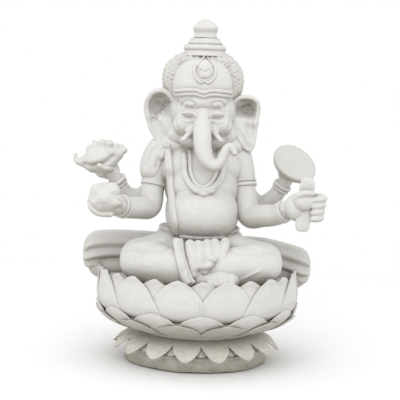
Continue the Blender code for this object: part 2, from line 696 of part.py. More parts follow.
def make_ear(name, side, height, drop, stone):
    """Flat fan of an ear, swept back from the head."""
    middle = HEAD_Z + 0.5 * HEAD_HEIGHT - drop
    shares = [(0.5, -8 * MM, 0.34, 1.0, 0), (0.64, -4 * MM, 0.48, 1.0, 0),
              (0.8, 0, 0.5, 0.9, 0.02), (0.92, 4 * MM, 0.4, 0.75, 0.08), (1.0, 6 * MM, 0.2, 0.5, 0.16)]
    rings = [oval((side * out * EAR_REACH, y, middle + lift * height), 0.5 * thick * EAR_THICKNESS,
                  half * height, (0, 1, 0), (0, 0, 1), 12)
             for out, y, half, thick, lift in shares]
    return loft(name, rings, stone)


def make_tusk(name, side, stone):
    start = np.array((side * 21 * MM, -0.5 * HEAD_DEPTH + 2 * MM, HEAD_Z + 0.24 * HEAD_HEIGHT))
    along = np.array((side * 0.4, -0.85, -0.35))
    along /= np.linalg.norm(along)
    points = [start, start + 0.5 * TUSK_LENGTH * along, start + TUSK_LENGTH * along]
    return tube(name, points, [TUSK_RADIUS, 0.85 * TUSK_RADIUS, 0.5 * TUSK_RADIUS], stone,
                1, 12, (0, 0, 1))


# ================================================================ crown
def dome_sections():
    """Height, centre Y, half width and half depth of the front dome, bottom to top."""
    shares = [(0.0, -14 * MM, 0.5), (0.35, -13 * MM, 0.5), (0.6, -11 * MM, 0.46),
              (0.8, -7 * MM, 0.38), (0.94, -3 * MM, 0.28), (1.0, 0, 0.2)]
    return [(CROWN_Z + share * CROWN_HEIGHT, y, half * DOME_WIDTH, half * DOME_DEPTH)
            for share, y, half in shares]


def make_dome(stone):
    rings = [oval((0, y, z), a, b) for z, y, a, b in dome_sections()]
    return loft("crown_dome", rings, stone)


def make_crown_back(stone):
    """Wide outer tier of the crown, wrapped round the dome's sides and back."""
    shares = [(0.0, 0.46), (0.2, 0.5), (0.45, 0.5), (0.65, 0.44), (0.82, 0.36), (0.98, 0.26)]
    rings = [oval((0, 14 * MM, CROWN_Z + share * CROWN_HEIGHT), half * CROWN_WIDTH,
                  half * CROWN_DEPTH) for share, half in shares]
    return loft("crown_back", rings, stone)


def make_brow_band(stone):
    """Rolled band round the foot of the dome, over the forehead."""
    z, y, half_a, half_b = dome_sections()[0]
    rings = []
    for turn in 2 * math.pi * np.arange(BODY_SIDES) / BODY_SIDES:
        out = np.array((math.cos(turn) / half_a, math.sin(turn) / half_b, 0))
        out /= np.linalg.norm(out)
        centre = np.array((half_a * math.cos(turn), y + half_b * math.sin(turn), z))
        rings.append(oval(centre + out * (BROW_BAND_RADIUS - BED_DEPTH), BROW_BAND_RADIUS,
                          BROW_BAND_RADIUS, out, (0, 0, 1), 8))
    return closed_loft("brow_band", rings, stone)


def make_crest(stone):
    """Leaf-shaped plaque on the dome's front."""
    sections = np.array(dome_sections())
    stations = [(-0.5, 0.28), (-0.35, 0.46), (-0.1, 0.5), (0.15, 0.42), (0.35, 0.24), (0.5, 0.08)]
    middle = CROWN_Z + 0.56 * CROWN_HEIGHT
    rings = []
    for share, half in stations:
        z = middle + share * CREST_HEIGHT
        y, depth = (np.interp(z, sections[:, 0], sections[:, k]) for k in (1, 3))
        rings.append(oval((0, y - depth - 0.5 * CREST_THICKNESS + BED_DEPTH, z),
                          half * CREST_WIDTH, 0.5 * CREST_THICKNESS, sides=10, power=2.6))
    return loft("crown_crest", rings, stone)


def make_tier(name, radius, z, stone):
    """Rounded ring of the crown's peak."""
    low, high = z, z + TIER_HEIGHT
    outline = [(0, low), (0.9 * radius, low), (radius, low + 0.3 * TIER_HEIGHT),
               (radius, low + 0.65 * TIER_HEIGHT), (0.88 * radius, high), (0, high)]
    return turned(name, lambda angle: outline, stone, 24)


def make_finial(stone):
    shares = [(0.0, 0.0), (0.95, 0.0), (0.9, 0.24), (0.9, 0.42), (1.0, 0.55), (0.97, 0.72),
              (0.62, 0.88), (0.25, 0.98), (0.0, 1.0)]
    outline = [(r * FINIAL_RADIUS, FINIAL_Z + h * FINIAL_HEIGHT) for r, h in shares]
    return turned("crown_finial", lambda angle: outline, stone, 20)


# ================================================================ assembly
def make_pieces():
    """All pieces in order of precedence: each is cut to the ones before it."""
    stone = finish("white_marble", (0.80, 0.79, 0.76), 0.62)
    weathered = finish("weathered_marble", (0.66, 0.64, 0.58), 0.75)
    steel = finish("stainless_steel", (0.55, 0.55, 0.56), 0.3, 1.0)
    pins = [pin("spine_pin", (0, 0), SPINE_PIN_RADIUS, PLINTH_HEIGHT - PIN_EMBED,
                BODY_Z + PIN_EMBED, steel),
            pin("neck_pin", (0, 0), NECK_PIN_RADIUS, HEAD_Z - PIN_EMBED, HEAD_Z + PIN_EMBED, steel),
            pin("crown_pin", (0, 0), CROWN_PIN_RADIUS, CROWN_Z - PIN_EMBED,
                FINIAL_Z + 0.5 * FINIAL_HEIGHT, steel)]
    throne = [make_plinth(weathered), make_skirt(weathered), make_waist(weathered),
              make_dish("lower_petal_dish", DISH_FOOT_RADIUS, LOWER_DISH_Z,
                        LOWER_DISH_Z + LOWER_DISH_HEIGHT, LOWER_DISH_RADIUS, LOWER_DISH_RISE,
                        UPPER_PHASE + 180 / DISH_PETALS, stone),
              make_dish("upper_petal_dish", LOWER_DISH_RADIUS - 18 * MM, UPPER_DISH_Z,
                        UPPER_DISH_Z + UPPER_DISH_HEIGHT, UPPER_DISH_RADIUS, UPPER_DISH_RISE,
                        UPPER_PHASE, stone),
              make_seat(stone)]
    ornament = [make_sash(stone), make_sash_tail(stone), make_pendant(stone), make_necklace(stone),
                make_belly_band(stone), make_crest(stone), make_brow_band(stone)]
    held = [make_sweet(stone), make_tablet(stone), make_conch(stone), make_disc(stone)]
    body = [make_torso(stone), make_head(stone), make_trunk(stone),
            make_tusk("right_tusk", -1, stone), make_tusk("left_tusk", 1, stone),
            make_ear("right_ear", -1, RIGHT_EAR_HEIGHT, 0, stone),
            make_ear("left_ear", 1, LEFT_EAR_HEIGHT, 16 * MM, stone),
            make_dome(stone), make_crown_back(stone),
            make_tier("lower_crown_tier", LOWER_TIER_RADIUS, LOWER_TIER_Z, stone),
            make_tier("upper_crown_tier", UPPER_TIER_RADIUS, UPPER_TIER_Z, stone),
            make_finial(stone)]
    arms = []
    for arm, side in (("right_front", -1), ("left_front", 1), ("right_back", -1), ("left_back", 1)):
        arms += make_arm(arm, side, stone)
    hands = [make_hand("right_front", -1, (30, 25, 27), (-2, 0, 0), stone),
             make_hand("left_front", 1, (30, 21, 31), (16, -2, 0), stone),
             make_hand("right_back", -1, (19, 17, 20), (-8, 0, -10), stone),
             make_hand("left_back", 1, (20, 16, 20), (4, 2, 6), stone)]
    lap = [make_pleats(stone), make_leg("right_leg", -1, stone), make_leg("left_leg", 1, stone),
           make_foot(stone), make_shawl(stone),
           make_bolster("right_back_drape", -1, stone), make_bolster("left_back_drape", 1, stone)]
    return pins + throne + ornament + held + body + arms + hands + lap


def main():
    for leftover in list(bpy.data.objects):
        bpy.data.objects.remove(leftover)
    pieces = make_pieces()
    for index, piece in enumerate(pieces):
        for earlier in pieces[:index]:
            cut_to_fit(piece, earlier)
        merge_flat_facets(piece)


main()
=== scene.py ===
# %% [markdown]
# # A carved marble temple figure
# The figure is white marble, cut in sections that stack on pins. The packed
# model gives every section's place and size. Here each section gets its carved
# surface: rounded limbs, petals, cloth folds and a face, in the same space.

# %% The frame
import itertools
import math

import bmesh
import bpy
import mathutils
import numpy as np
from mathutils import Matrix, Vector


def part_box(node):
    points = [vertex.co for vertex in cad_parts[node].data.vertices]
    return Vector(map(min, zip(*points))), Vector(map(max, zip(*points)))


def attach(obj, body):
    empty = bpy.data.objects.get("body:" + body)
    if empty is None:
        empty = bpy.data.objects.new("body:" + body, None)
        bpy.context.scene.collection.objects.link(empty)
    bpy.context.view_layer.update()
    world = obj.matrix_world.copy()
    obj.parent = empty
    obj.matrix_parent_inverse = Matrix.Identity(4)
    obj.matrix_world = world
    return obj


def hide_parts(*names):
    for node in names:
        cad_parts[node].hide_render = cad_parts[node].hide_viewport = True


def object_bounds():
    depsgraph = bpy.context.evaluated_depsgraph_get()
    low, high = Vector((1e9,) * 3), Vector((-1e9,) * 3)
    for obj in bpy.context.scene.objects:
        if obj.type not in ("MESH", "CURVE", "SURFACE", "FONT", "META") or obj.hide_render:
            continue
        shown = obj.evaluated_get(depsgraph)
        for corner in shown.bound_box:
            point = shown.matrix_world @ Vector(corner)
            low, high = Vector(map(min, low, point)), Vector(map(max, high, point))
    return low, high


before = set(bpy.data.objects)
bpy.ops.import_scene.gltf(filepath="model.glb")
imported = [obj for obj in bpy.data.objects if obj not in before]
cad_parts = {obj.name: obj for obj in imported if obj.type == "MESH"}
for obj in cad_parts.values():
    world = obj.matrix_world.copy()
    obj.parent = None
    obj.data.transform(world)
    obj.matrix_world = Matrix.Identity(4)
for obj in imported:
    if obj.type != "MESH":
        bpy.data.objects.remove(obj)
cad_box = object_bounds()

MM = 0.001
SIDE = {"right": -1, "left": 1}      # the figure's own sides; it faces -Y
print("model box", cad_box)

# %% [markdown]
# ## Landmarks
# A carver marks the block before cutting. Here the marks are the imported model's
# sections, whose corners and centres give the beds between pieces. Shapes are set
# out in millimetres from the middle of the plinth's foot, with Z upwards.

# %% Boxes in millimetres
def box_mm(node):
    """Lowest and highest corner of a packed section, in millimetres."""
    return np.array(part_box(node)) / MM


def middle(node):
    """Centre of a packed section's box, in millimetres."""
    return box_mm(node).mean(axis=0)


# %% [markdown]
# ## Curves and surfaces
# Carved stone has no straight edges for long, so nearly every shape here is a
# smooth curve with a radius, or a grid bent over a formula. A grid of rows and
# columns becomes faces by joining each point to the next row and column.

# %% Curves
def smooth_curve(points, count):
    """Catmull-Rom curve: between two points it is the cubic whose slope at each
    point is half the step from the point before to the point after."""
    points = np.asarray(points, float)
    padded = np.vstack([2 * points[0] - points[1], points, 2 * points[-1] - points[-2]])
    place = np.linspace(0, len(points) - 1, count)
    span = np.minimum(place.astype(int), len(points) - 2)
    t = (place - span)[:, None]
    a, b, c, d = (padded[span + k] for k in range(4))
    return 0.5 * (2 * b + (c - a) * t + (2 * a - 5 * b + 4 * c - d) * t ** 2
                  + (3 * b - a - 3 * c + d) * t ** 3)


def unit(vectors):
    """Vectors shortened or stretched to length one."""
    vectors = np.asarray(vectors, float)
    return vectors / np.linalg.norm(vectors, axis=-1, keepdims=True)


def ease(value, low, high):
    """0 below low, 1 above high, and the cubic 3t^2 - 2t^3 between them."""
    t = np.clip((value - low) / (high - low), 0, 1)
    return t * t * (3 - 2 * t)


def rounded(value, power):
    """Superellipse: the value's size raised to 2/power, with its sign kept."""
    return np.sign(value) * np.abs(value) ** (2 / power)


# %% Grids into closed shapes
def skin(points):
    """Faces of a grid whose columns wrap round, with both end rows closed by a fan."""
    rows, columns = points.shape[:2]
    index = np.arange(rows * columns).reshape(rows, columns)
    beside = np.roll(index, -1, axis=1)
    quads = np.stack([index[:-1], beside[:-1], beside[1:], index[1:]], axis=-1).reshape(-1, 4)
    poles = rows * columns + np.arange(2)
    fans = np.vstack([np.stack([beside[0], index[0], np.full(columns, poles[0])], axis=-1),
                      np.stack([index[-1], beside[-1], np.full(columns, poles[1])], axis=-1)])
    spots = np.vstack([points.reshape(-1, 3), points[0].mean(axis=0), points[-1].mean(axis=0)])
    return spots, quads.tolist() + fans.tolist()


def ring_skin(points):
    """Faces of a grid whose rows and columns both wrap round, like a bangle."""
    rows, columns = points.shape[:2]
    index = np.arange(rows * columns).reshape(rows, columns)
    after = np.roll(index, -1, axis=0)
    quads = np.stack([index, np.roll(index, -1, axis=1), np.roll(after, -1, axis=1), after], axis=-1)
    return points.reshape(-1, 3), quads.reshape(-1, 4).tolist()


LAST_ROW = 0.48 * math.pi       # a ball's rows stop just short of its poles


def ball(centre, halves, turn=(0, 0, 0), rows=22, columns=32, power=2.0):
    """Ellipsoid: a unit sphere's points, each part raised to 2/power, stretched to
    the half sizes, turned by degrees about X, Y and Z, and moved to the centre."""
    rise = np.linspace(-LAST_ROW, LAST_ROW, rows)[:, None]
    round_ = np.linspace(0, 2 * math.pi, columns, endpoint=False)[None, :]
    level = rounded(np.cos(rise), power)
    unit_points = np.stack([level * rounded(np.cos(round_), power),
                            level * rounded(np.sin(round_), power),
                            rounded(np.sin(rise), power) * np.ones_like(round_)], axis=-1)
    points = unit_points * np.asarray(halves) * MM
    for axis, angle in enumerate(np.radians(turn)):
        i, j = (axis + 1) % 3, (axis + 2) % 3
        first, second = points[..., i].copy(), points[..., j].copy()
        points[..., i] = first * math.cos(angle) - second * math.sin(angle)
        points[..., j] = first * math.sin(angle) + second * math.cos(angle)
    return skin(points + np.asarray(centre) * MM)


def limb(stations, count=36, sides=28, hint=(0, 1, 0), flat=1.0, ripple=None):
    """Round bar: stations are (x, y, z, radius) in millimetres, and each row is the
    circle of that radius across the curve, squashed by flat; the ends are half
    balls, whose rows shrink as the cosine of an angle that runs to a right angle."""
    line = smooth_curve(stations, count) * MM
    path, radius = line[:, :3], line[:, 3]
    tangent = unit(np.gradient(path, axis=0))
    cap = np.linspace(0, math.pi / 2, 7)[1:-1]
    centres = np.vstack([path[0] - np.outer(np.sin(cap[::-1]) * radius[0], tangent[0]), path,
                         path[-1] + np.outer(np.sin(cap) * radius[-1], tangent[-1])])
    radii = np.concatenate([np.cos(cap[::-1]) * radius[0], radius, np.cos(cap) * radius[-1]])
    tangent = np.vstack([tangent[[0] * len(cap)], tangent, tangent[[-1] * len(cap)]])
    side = unit(np.cross(tangent, hint))
    lift = np.cross(side, tangent)
    turn = np.linspace(0, 2 * math.pi, sides, endpoint=False)
    swell = np.ones((len(radii), sides)) if ripple is None else ripple(
        np.linspace(0, 1, len(radii))[:, None], turn[None, :])
    around = (np.cos(turn)[None, :, None] * side[:, None] + flat * np.sin(turn)[None, :, None]
              * lift[:, None])
    return skin(centres[:, None] + around * (radii[:, None] * swell)[..., None])


def lathe(profile, columns=128, ripple=None):
    """Turned shape: a row for each (radius, height) of the profile, in millimetres,
    spun about Z; ripple(angle, row) multiplies the radius."""
    profile = np.asarray(profile, float) * MM
    turn = np.linspace(0, 2 * math.pi, columns, endpoint=False)[None, :]
    radius = profile[:, :1] * (1 if ripple is None else ripple(turn, np.arange(len(profile))[:, None]))
    height = profile[:, 1:] * np.ones_like(turn)
    return skin(np.stack([radius * np.sin(turn), -radius * np.cos(turn), height], axis=-1))


def hoop(path, radius, flat=1.0, sides=12):
    """Closed round cord: circles across a closed path, squashed by flat in the
    direction away from the path's middle."""
    tangent = unit(np.roll(path, -1, axis=0) - np.roll(path, 1, axis=0))
    out = unit(path - path.mean(axis=0))
    rise = unit(np.cross(tangent, out))
    turn = np.linspace(0, 2 * math.pi, sides, endpoint=False)[None, :, None]
    return ring_skin(path[:, None] + radius * (np.cos(turn) * rise[:, None]
                                               + flat * np.sin(turn) * out[:, None]))


# %% [markdown]
# ## Grain, grooves and bumps
# A chisel leaves low waves and a line where it turns. The waves are value noise,
# and a groove is a smooth trench along a line. Both move points along their
# normals, so they are real surface and not paint.

# %% Noise and trenches
def grain(points, cell, seed):
    """Value noise: a random number at each corner of a lattice of cubes, eased
    between the eight corners round a point, from -1 to 1."""
    place = points / cell
    base = np.floor(place).astype(np.int64)
    t = place - base
    t = t * t * (3 - 2 * t)
    total = np.zeros(len(points))
    for corner in itertools.product((0, 1), repeat=3):
        node = base + np.array(corner)
        mixed = (node[:, 0] * 73856093) ^ (node[:, 1] * 19349663) ^ (node[:, 2] * 83492791)
        mixed = ((mixed ^ (seed * 2654435)) * 1103515245 + 12345) & 0xffffff
        mixed = ((mixed ^ (mixed >> 11)) * 69069 + 1) & 0xffffff
        total += mixed / 0xffffff * np.prod(np.where(corner, t, 1 - t), axis=1)
    return 2 * total - 1


def away_from(points, line):
    """Distance from each point to a line of short straight pieces."""
    nearest = np.full(len(points), np.inf)
    for start, end in zip(line, line[1:]):
        step = end - start
        share = np.clip((points - start) @ step / max(step @ step, 1e-12), 0, 1)
        gap = np.linalg.norm(points - start - share[:, None] * step, axis=1)
        nearest = np.minimum(nearest, gap)
    return nearest


def ridge(points, line, width, height):
    """Bell-shaped ridge along a curve: height times exp(-(distance/width)^2)."""
    curve = smooth_curve(line, 6 * len(line))
    return height * MM * np.exp(-(away_from(points, curve) / (width * MM)) ** 2)


# %% [markdown]
# ## Making a piece
# A real carver works shapes into each other. Closed shapes can be joined and
# remeshed to one skin of small cubes, which is then eased, as with a rasp.
# Thin things such as petals keep their own faces, because small cubes would
# eat their edges.

# %% Pieces
PIECES = []


def mesh_object(name, shapes):
    """One object from closed shapes, each facing outwards."""
    spots, faces, offset = [], [], 0
    for points, own_faces in shapes:
        spots.append(points)
        faces += [[index + offset for index in face] for face in own_faces]
        offset += len(points)
    mesh = bpy.data.meshes.new(name)
    mesh.from_pydata(np.vstack(spots).tolist(), [], faces)
    work = bmesh.new()
    work.from_mesh(mesh)
    bmesh.ops.recalc_face_normals(work, faces=work.faces)
    work.to_mesh(mesh)
    work.free()
    piece = bpy.data.objects.new(name, mesh)
    bpy.context.collection.objects.link(piece)
    return piece


def keep_modified(piece):
    """The piece's mesh becomes what its modifiers make of it."""
    bpy.context.view_layer.update()
    depsgraph = bpy.context.evaluated_depsgraph_get()
    result = bpy.data.meshes.new_from_object(piece.evaluated_get(depsgraph))
    before = piece.data
    piece.modifiers.clear()
    piece.data = result
    bpy.data.meshes.remove(before)
    result.name = piece.name


def fuse(piece, voxel, passes):
    """One skin of cubes of the voxel's size in millimetres, eased a few times."""
    remesh = piece.modifiers.new("fuse", "REMESH")
    remesh.mode = "VOXEL"
    remesh.voxel_size = voxel * MM
    rasp = piece.modifiers.new("rasp", "SMOOTH")
    rasp.factor = 0.5
    rasp.iterations = passes
    keep_modified(piece)


def read_points(piece):
    """The mesh's points and their normals, as arrays."""
    count = len(piece.data.vertices)
    points, normals = np.empty(3 * count), np.empty(3 * count)
    piece.data.vertices.foreach_get("co", points)
    piece.data.vertex_normals.foreach_get("vector", normals)
    return points.reshape(-1, 3), normals.reshape(-1, 3)


def push(piece, relief):
    """Move each point along its normal by relief(points)."""
    points, normals = read_points(piece)
    moved = points + normals * relief(points)[:, None]
    piece.data.vertices.foreach_set("co", moved.ravel())
    piece.data.update()


def skin_tree(*pieces):
    """A search tree over the pieces' faces."""
    spots, faces, offset = [], [], 0
    for piece in pieces:
        points, _ = read_points(piece)
        spots += points.tolist()
        faces += [[offset + index for index in face.vertices] for face in piece.data.polygons]
        offset += len(points)
    return mathutils.bvhtree.BVHTree.FromPolygons(spots, faces)


def landed(tree, places):
    """Points and normals where rays towards +Y meet the skin, for (x, z) in mm."""
    hits = [tree.ray_cast((x * MM, -0.4, z * MM), (0, 1, 0)) for x, z in places]
    hits = [hit for hit in hits if hit[0] is not None]
    return np.array([hit[0] for hit in hits]), np.array([hit[1] for hit in hits])


def carve(name, shapes, nodes, stone, voxel=0, passes=6, relief=None, wear=0.25):
    """A finished piece: shapes joined, fused if a voxel is given, cut by the relief,
    and left with the low waves of hand work, wear millimetres high. The relief is
    relief(points, lay), where lay puts a line of (x, z) on the front of the skin."""
    piece = mesh_object(name, shapes)
    if voxel:
        fuse(piece, voxel, passes)
    if relief is not None:
        tree = skin_tree(piece)
        push(piece, lambda p: relief(p, lambda line: landed(tree, line)[0]))
    seed = sum(map(ord, name))
    push(piece, lambda p: wear * MM * (grain(p, 9 * MM, seed) + 0.5 * grain(p, 4 * MM, seed + 1)))
    piece.data.shade_smooth()
    piece.data.materials.clear()
    piece.data.materials.append(stone)
    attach(piece, "root")
    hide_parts(*nodes)
    PIECES.append(piece)
    print(f"{name}: {len(piece.data.polygons)} faces")
    return piece


# %% [markdown]
# ## Marble
# White marble is calcite in sugar-like grains about a millimetre wide. Outdoors
# its polish goes, rain leaves grey runs, and soil stains what is near the
# ground. The colour is a slow mix of two whites, then grains, then dirt and
# painted shade in the hollows, painted shade on what faces down, and then brown
# soil stain mixed with painted shade, darker towards the bottom. The grain's
# bump breaks up the shine.

# %% Colours and nodes
def linear(code):
    """sRGB hex colour as linear red, green, blue and alpha: below 0.04045 a channel
    is divided by 12.92, and above it is ((c + 0.055) / 1.055) ^ 2.4."""
    parts = [int(code[k:k + 2], 16) / 255 for k in (1, 3, 5)]
    return tuple(c / 12.92 if c <= 0.04045 else ((c + 0.055) / 1.055) ** 2.4 for c in parts) + (1,)


def add(tree, kind, sockets=None, **settings):
    """A node of a kind with its settings; sockets gives each input a value or the
    output that feeds it."""
    made = tree.nodes.new(kind)
    for name, value in settings.items():
        setattr(made, name, value)
    for name, value in (sockets or {}).items():
        if isinstance(value, bpy.types.NodeSocket):
            tree.links.new(value, made.inputs[name])
        else:
            made.inputs[name].default_value = value
    return made


FACTOR, FIRST, SECOND, RESULT = 0, 6, 7, 2     # sockets of a Mix node that mixes colours


def blank(name):
    """A material with only its shader and its output; gives the tree and the shader."""
    material = bpy.data.materials.new(name)
    material.use_nodes = True
    tree = material.node_tree
    tree.nodes.clear()
    shader = add(tree, "ShaderNodeBsdfPrincipled")
    add(tree, "ShaderNodeOutputMaterial", {"Surface": shader.outputs["BSDF"]})
    return material, tree, shader


# Widths of the marble's patterns, in metres
CLOUD, GRAIN, PATCH, BLOTCH, PIT, CHISEL = 0.055, 0.0016, 0.012, 0.02, 0.0022, 0.008
HOLLOW = 0.014                  # how far the dirt and painted shade look for walls round it
WAVE = 0.05                     # how high the upper edge of the soil stain and painted shade wanders
SOIL_AND_SHADE_FADE = (0.042, 0.004)      # above soil_and_shade_top, where the soil stain and painted shade start and are full


def marble(name, whites, dirt_and_shade, soil_and_shade_tone, soil_and_shade_top, dirt_and_shade_share, rough):
    """Marble: two whites mix in clouds, grains darken it a little, dirt and painted
    shade fill the hollows, painted shade darkens what faces down, and soil stain
    with painted shade fades out at a height. Each layer is a colour mixed in by
    its own share."""
    material, tree, shader = blank(name)
    place = add(tree, "ShaderNodeTexCoord").outputs["Object"]
    clouds = add(tree, "ShaderNodeTexNoise", {"Vector": place, "Scale": 1 / CLOUD, "Detail": 5.0,
                                              "Roughness": 0.6})
    grains = add(tree, "ShaderNodeTexVoronoi", {"Vector": place, "Scale": 1 / GRAIN})
    fleck = add(tree, "ShaderNodeMapRange", {"Value": grains.outputs["Distance"], "From Min": 0.1,
                                             "From Max": 0.9, "To Max": 0.22})
    # Dirt and painted shade: ambient occlusion darkens the hollows, in patches.
    hollow = add(tree, "ShaderNodeAmbientOcclusion", {"Distance": HOLLOW}, samples=6)
    patchy = add(tree, "ShaderNodeTexNoise", {"Vector": place, "Scale": 1 / PATCH, "Detail": 4.0})
    depth = add(tree, "ShaderNodeMapRange", {"Value": hollow.outputs["AO"], "From Min": 0.95,
                                             "From Max": 0.25, "To Max": dirt_and_shade_share})
    hollow_dirt_and_shade = add(tree, "ShaderNodeMath", {0: depth.outputs[0], 1: patchy.outputs["Fac"]},
               operation="MULTIPLY")
    # Painted shade: what faces down is darkened.
    facing = add(tree, "ShaderNodeSeparateXYZ",
                 {"Vector": add(tree, "ShaderNodeNewGeometry").outputs["Normal"]})
    underside_shade = add(tree, "ShaderNodeMapRange", {"Value": facing.outputs["Z"], "From Min": 0.1,
                                               "From Max": -0.9, "To Max": 0.75})
    # Soil stain and painted shade: darker towards the bottom, with a wavy upper edge.
    height = add(tree, "ShaderNodeSeparateXYZ", {"Vector": place})
    blotch = add(tree, "ShaderNodeTexNoise", {"Vector": place, "Scale": 1 / BLOTCH, "Detail": 6.0,
                                              "Roughness": 0.7})
    wavy = add(tree, "ShaderNodeMath", {0: blotch.outputs["Fac"], 1: WAVE, 2: height.outputs["Z"]},
               operation="MULTIPLY_ADD")
    soil_and_shade = add(tree, "ShaderNodeMapRange", {"Value": wavy.outputs[0], "To Max": 0.92,
                                            "From Min": soil_and_shade_top + SOIL_AND_SHADE_FADE[0],
                                            "From Max": soil_and_shade_top + SOIL_AND_SHADE_FADE[1]})
    colour = linear(whites[0])
    for share, stain in ((clouds.outputs["Fac"], whites[1]), (fleck.outputs[0], dirt_and_shade),
                         (hollow_dirt_and_shade.outputs[0], dirt_and_shade), (underside_shade.outputs[0], dirt_and_shade),
                         (soil_and_shade.outputs[0], soil_and_shade_tone)):
        layer = add(tree, "ShaderNodeMix", {FACTOR: share, FIRST: colour, SECOND: linear(stain)},
                    data_type="RGBA")
        colour = layer.outputs[RESULT]
    tree.links.new(colour, shader.inputs["Base Color"])
    worn = add(tree, "ShaderNodeMapRange", {"Value": clouds.outputs["Fac"], "To Min": rough - 0.08,
                                            "To Max": rough + 0.1})
    tree.links.new(worn.outputs[0], shader.inputs["Roughness"])
    pits = add(tree, "ShaderNodeTexNoise", {"Vector": place, "Scale": 1 / PIT, "Detail": 6.0,
                                            "Roughness": 0.65})
    fine = add(tree, "ShaderNodeBump", {"Height": pits.outputs["Fac"], "Strength": 0.5,
                                        "Distance": 0.0006})
    chisel = add(tree, "ShaderNodeTexNoise", {"Vector": place, "Scale": 1 / CHISEL, "Detail": 3.0})
    waves = add(tree, "ShaderNodeBump", {"Height": chisel.outputs["Fac"], "Strength": 0.5,
                                         "Distance": 0.0012, "Normal": fine.outputs[0]})
    tree.links.new(waves.outputs[0], shader.inputs["Normal"])
    shader.inputs["IOR"].default_value = 1.49
    shader.inputs["Subsurface Weight"].default_value = 0.12
    shader.inputs["Subsurface Radius"].default_value = (0.004, 0.0035, 0.003)
    shader.inputs["Subsurface Scale"].default_value = 1.0
    return material


# %% The stones and the steel
# Calcite lets light in a little, so edges glow softly and shade is never hard.
STONE = marble("White marble, carved and weathered", ("#E6E5E3", "#D6D5D1"), "#958F82", "#A39C8D",
               0.075, 0.8, 0.55)
# A darker copy of the marble, as painted shade on the cloth ends, the halo and the disc.
SHADED_STONE = marble("White marble, darkened as painted shade", ("#DEDDD9", "#CDCBC6"), "#8A8477",
                     "#A39C8D", 0.03, 1.0, 0.62)
# The foot is stained brown by soil and dull, and it is darker still as painted shade.
GROUND_STONE = marble("Weathered marble, stained by soil", ("#F0EEE7", "#D9D6CC"), "#857E6F",
                      "#958E7E", 0.018, 0.9, 0.72)


TURNING_MARK = 0.0004           # distance between turning marks, in metres
BANDS = 20                      # a wave texture draws 20 bands for each unit of scale


def turned_steel():
    """Stainless rod: dull grey metal with turning marks along its length."""
    material, tree, shader = blank("Stainless steel rod, turned")
    place = add(tree, "ShaderNodeTexCoord").outputs["Object"]
    marks = add(tree, "ShaderNodeTexWave", {"Vector": place, "Scale": 1 / TURNING_MARK / BANDS,
                                            "Distortion": 0.6, "Detail": 2.0},
                bands_direction="Z")
    smut = add(tree, "ShaderNodeTexNoise", {"Vector": place, "Scale": 1 / BLOTCH, "Detail": 4.0})
    tone = add(tree, "ShaderNodeMix", {FACTOR: smut.outputs["Fac"], FIRST: linear("#B9BABC"),
                                       SECOND: linear("#8C8D8F")}, data_type="RGBA")
    tree.links.new(tone.outputs[RESULT], shader.inputs["Base Color"])
    gloss = add(tree, "ShaderNodeMapRange", {"Value": smut.outputs["Fac"], "To Min": 0.25,
                                             "To Max": 0.45})
    tree.links.new(gloss.outputs[0], shader.inputs["Roughness"])
    cut = add(tree, "ShaderNodeBump", {"Height": marks.outputs["Fac"], "Strength": 0.2,
                                       "Distance": 0.00005})
    tree.links.new(cut.outputs[0], shader.inputs["Normal"])
    shader.inputs["Metallic"].default_value = 1.0
    return material


STEEL = turned_steel()
for pin in ("spine_pin", "neck_pin", "crown_pin"):
    bpy.data.objects[pin].material_slots[0].material = STEEL
print("materials:", STONE.name, "|", GROUND_STONE.name, "|", STEEL.name)


# %% [markdown]
# ## The lotus throne
# A round plinth carries a ring of drooping petals, a narrow waist and a bowl of
# upright petals in rows. Each petal was cut from the bowl's wall with a raised
# edge. Here a petal is a grid that climbs the bowl's profile while its half
# width shrinks to a point, and the bowl's own wall closes the gaps behind.

# %% Petals
def petal(profile, turn, half_angle, wall, rim=1.6, rib=0.8, rows=30, columns=18, blunt=2.6,
          taper=0.6, lap=0.0):
    """Leaf with two faces. Up the leaf, radius and height follow the profile's curve
    (mm); across it the angle runs over half_angle (degrees) times
    (1 - u^blunt)^taper. The outer face rises by rim near the edge and by rib along
    the middle, and the inner face is a wall behind, which thins to a quarter at the
    edge. The side nearer the front stands proud by lap, and so covers its neighbour."""
    up = np.linspace(0, 1, rows)
    curve = smooth_curve(profile, rows)
    width = np.clip(1 - (0.985 * up) ** blunt, 0, 1) ** taper
    across = np.linspace(-1, 1, columns)
    edge = rim * np.exp(-((1 - np.abs(across)) / 0.16) ** 2)[None, :] * ease(up, 0.1, 0.5)[:, None]
    top = rim * np.exp(-((1 - up) / 0.07) ** 2)[:, None] * (1 - across ** 4)[None, :]
    middle_rib = rib * np.exp(-(across / 0.12) ** 2)[None, :] * (1 - up)[:, None] ** 0.5
    bulge = 3.0 * (1 - across ** 2)[None, :] * np.sin(math.pi * up)[:, None] ** 0.5
    facing = -math.copysign(1, math.sin(math.radians(turn)))
    shingle = lap * facing * (across[None, :] * width[:, None])
    outer = curve[:, :1] + bulge + edge + top + middle_rib + shingle
    inner = curve[:, :1] + bulge - wall * (1 - 0.75 * across ** 4)[None, :] + shingle
    radius = np.hstack([outer, inner[:, ::-1]]) * MM
    share = np.concatenate([across, across[::-1]])[None, :] * width[:, None]
    angle = math.radians(turn) + math.radians(half_angle) * share
    height = (curve[:, 1:2] + np.zeros_like(angle)) * MM
    return skin(np.stack([radius * np.sin(angle), -radius * np.cos(angle), height], axis=-1))


def petal_row(profile, count, phase, half_angle, wall, **shape):
    """Petals at equal angles, the first at the phase; angles are in degrees."""
    return [petal(profile, phase + 360 * k / count, half_angle, wall, **shape)
            for k in range(count)]


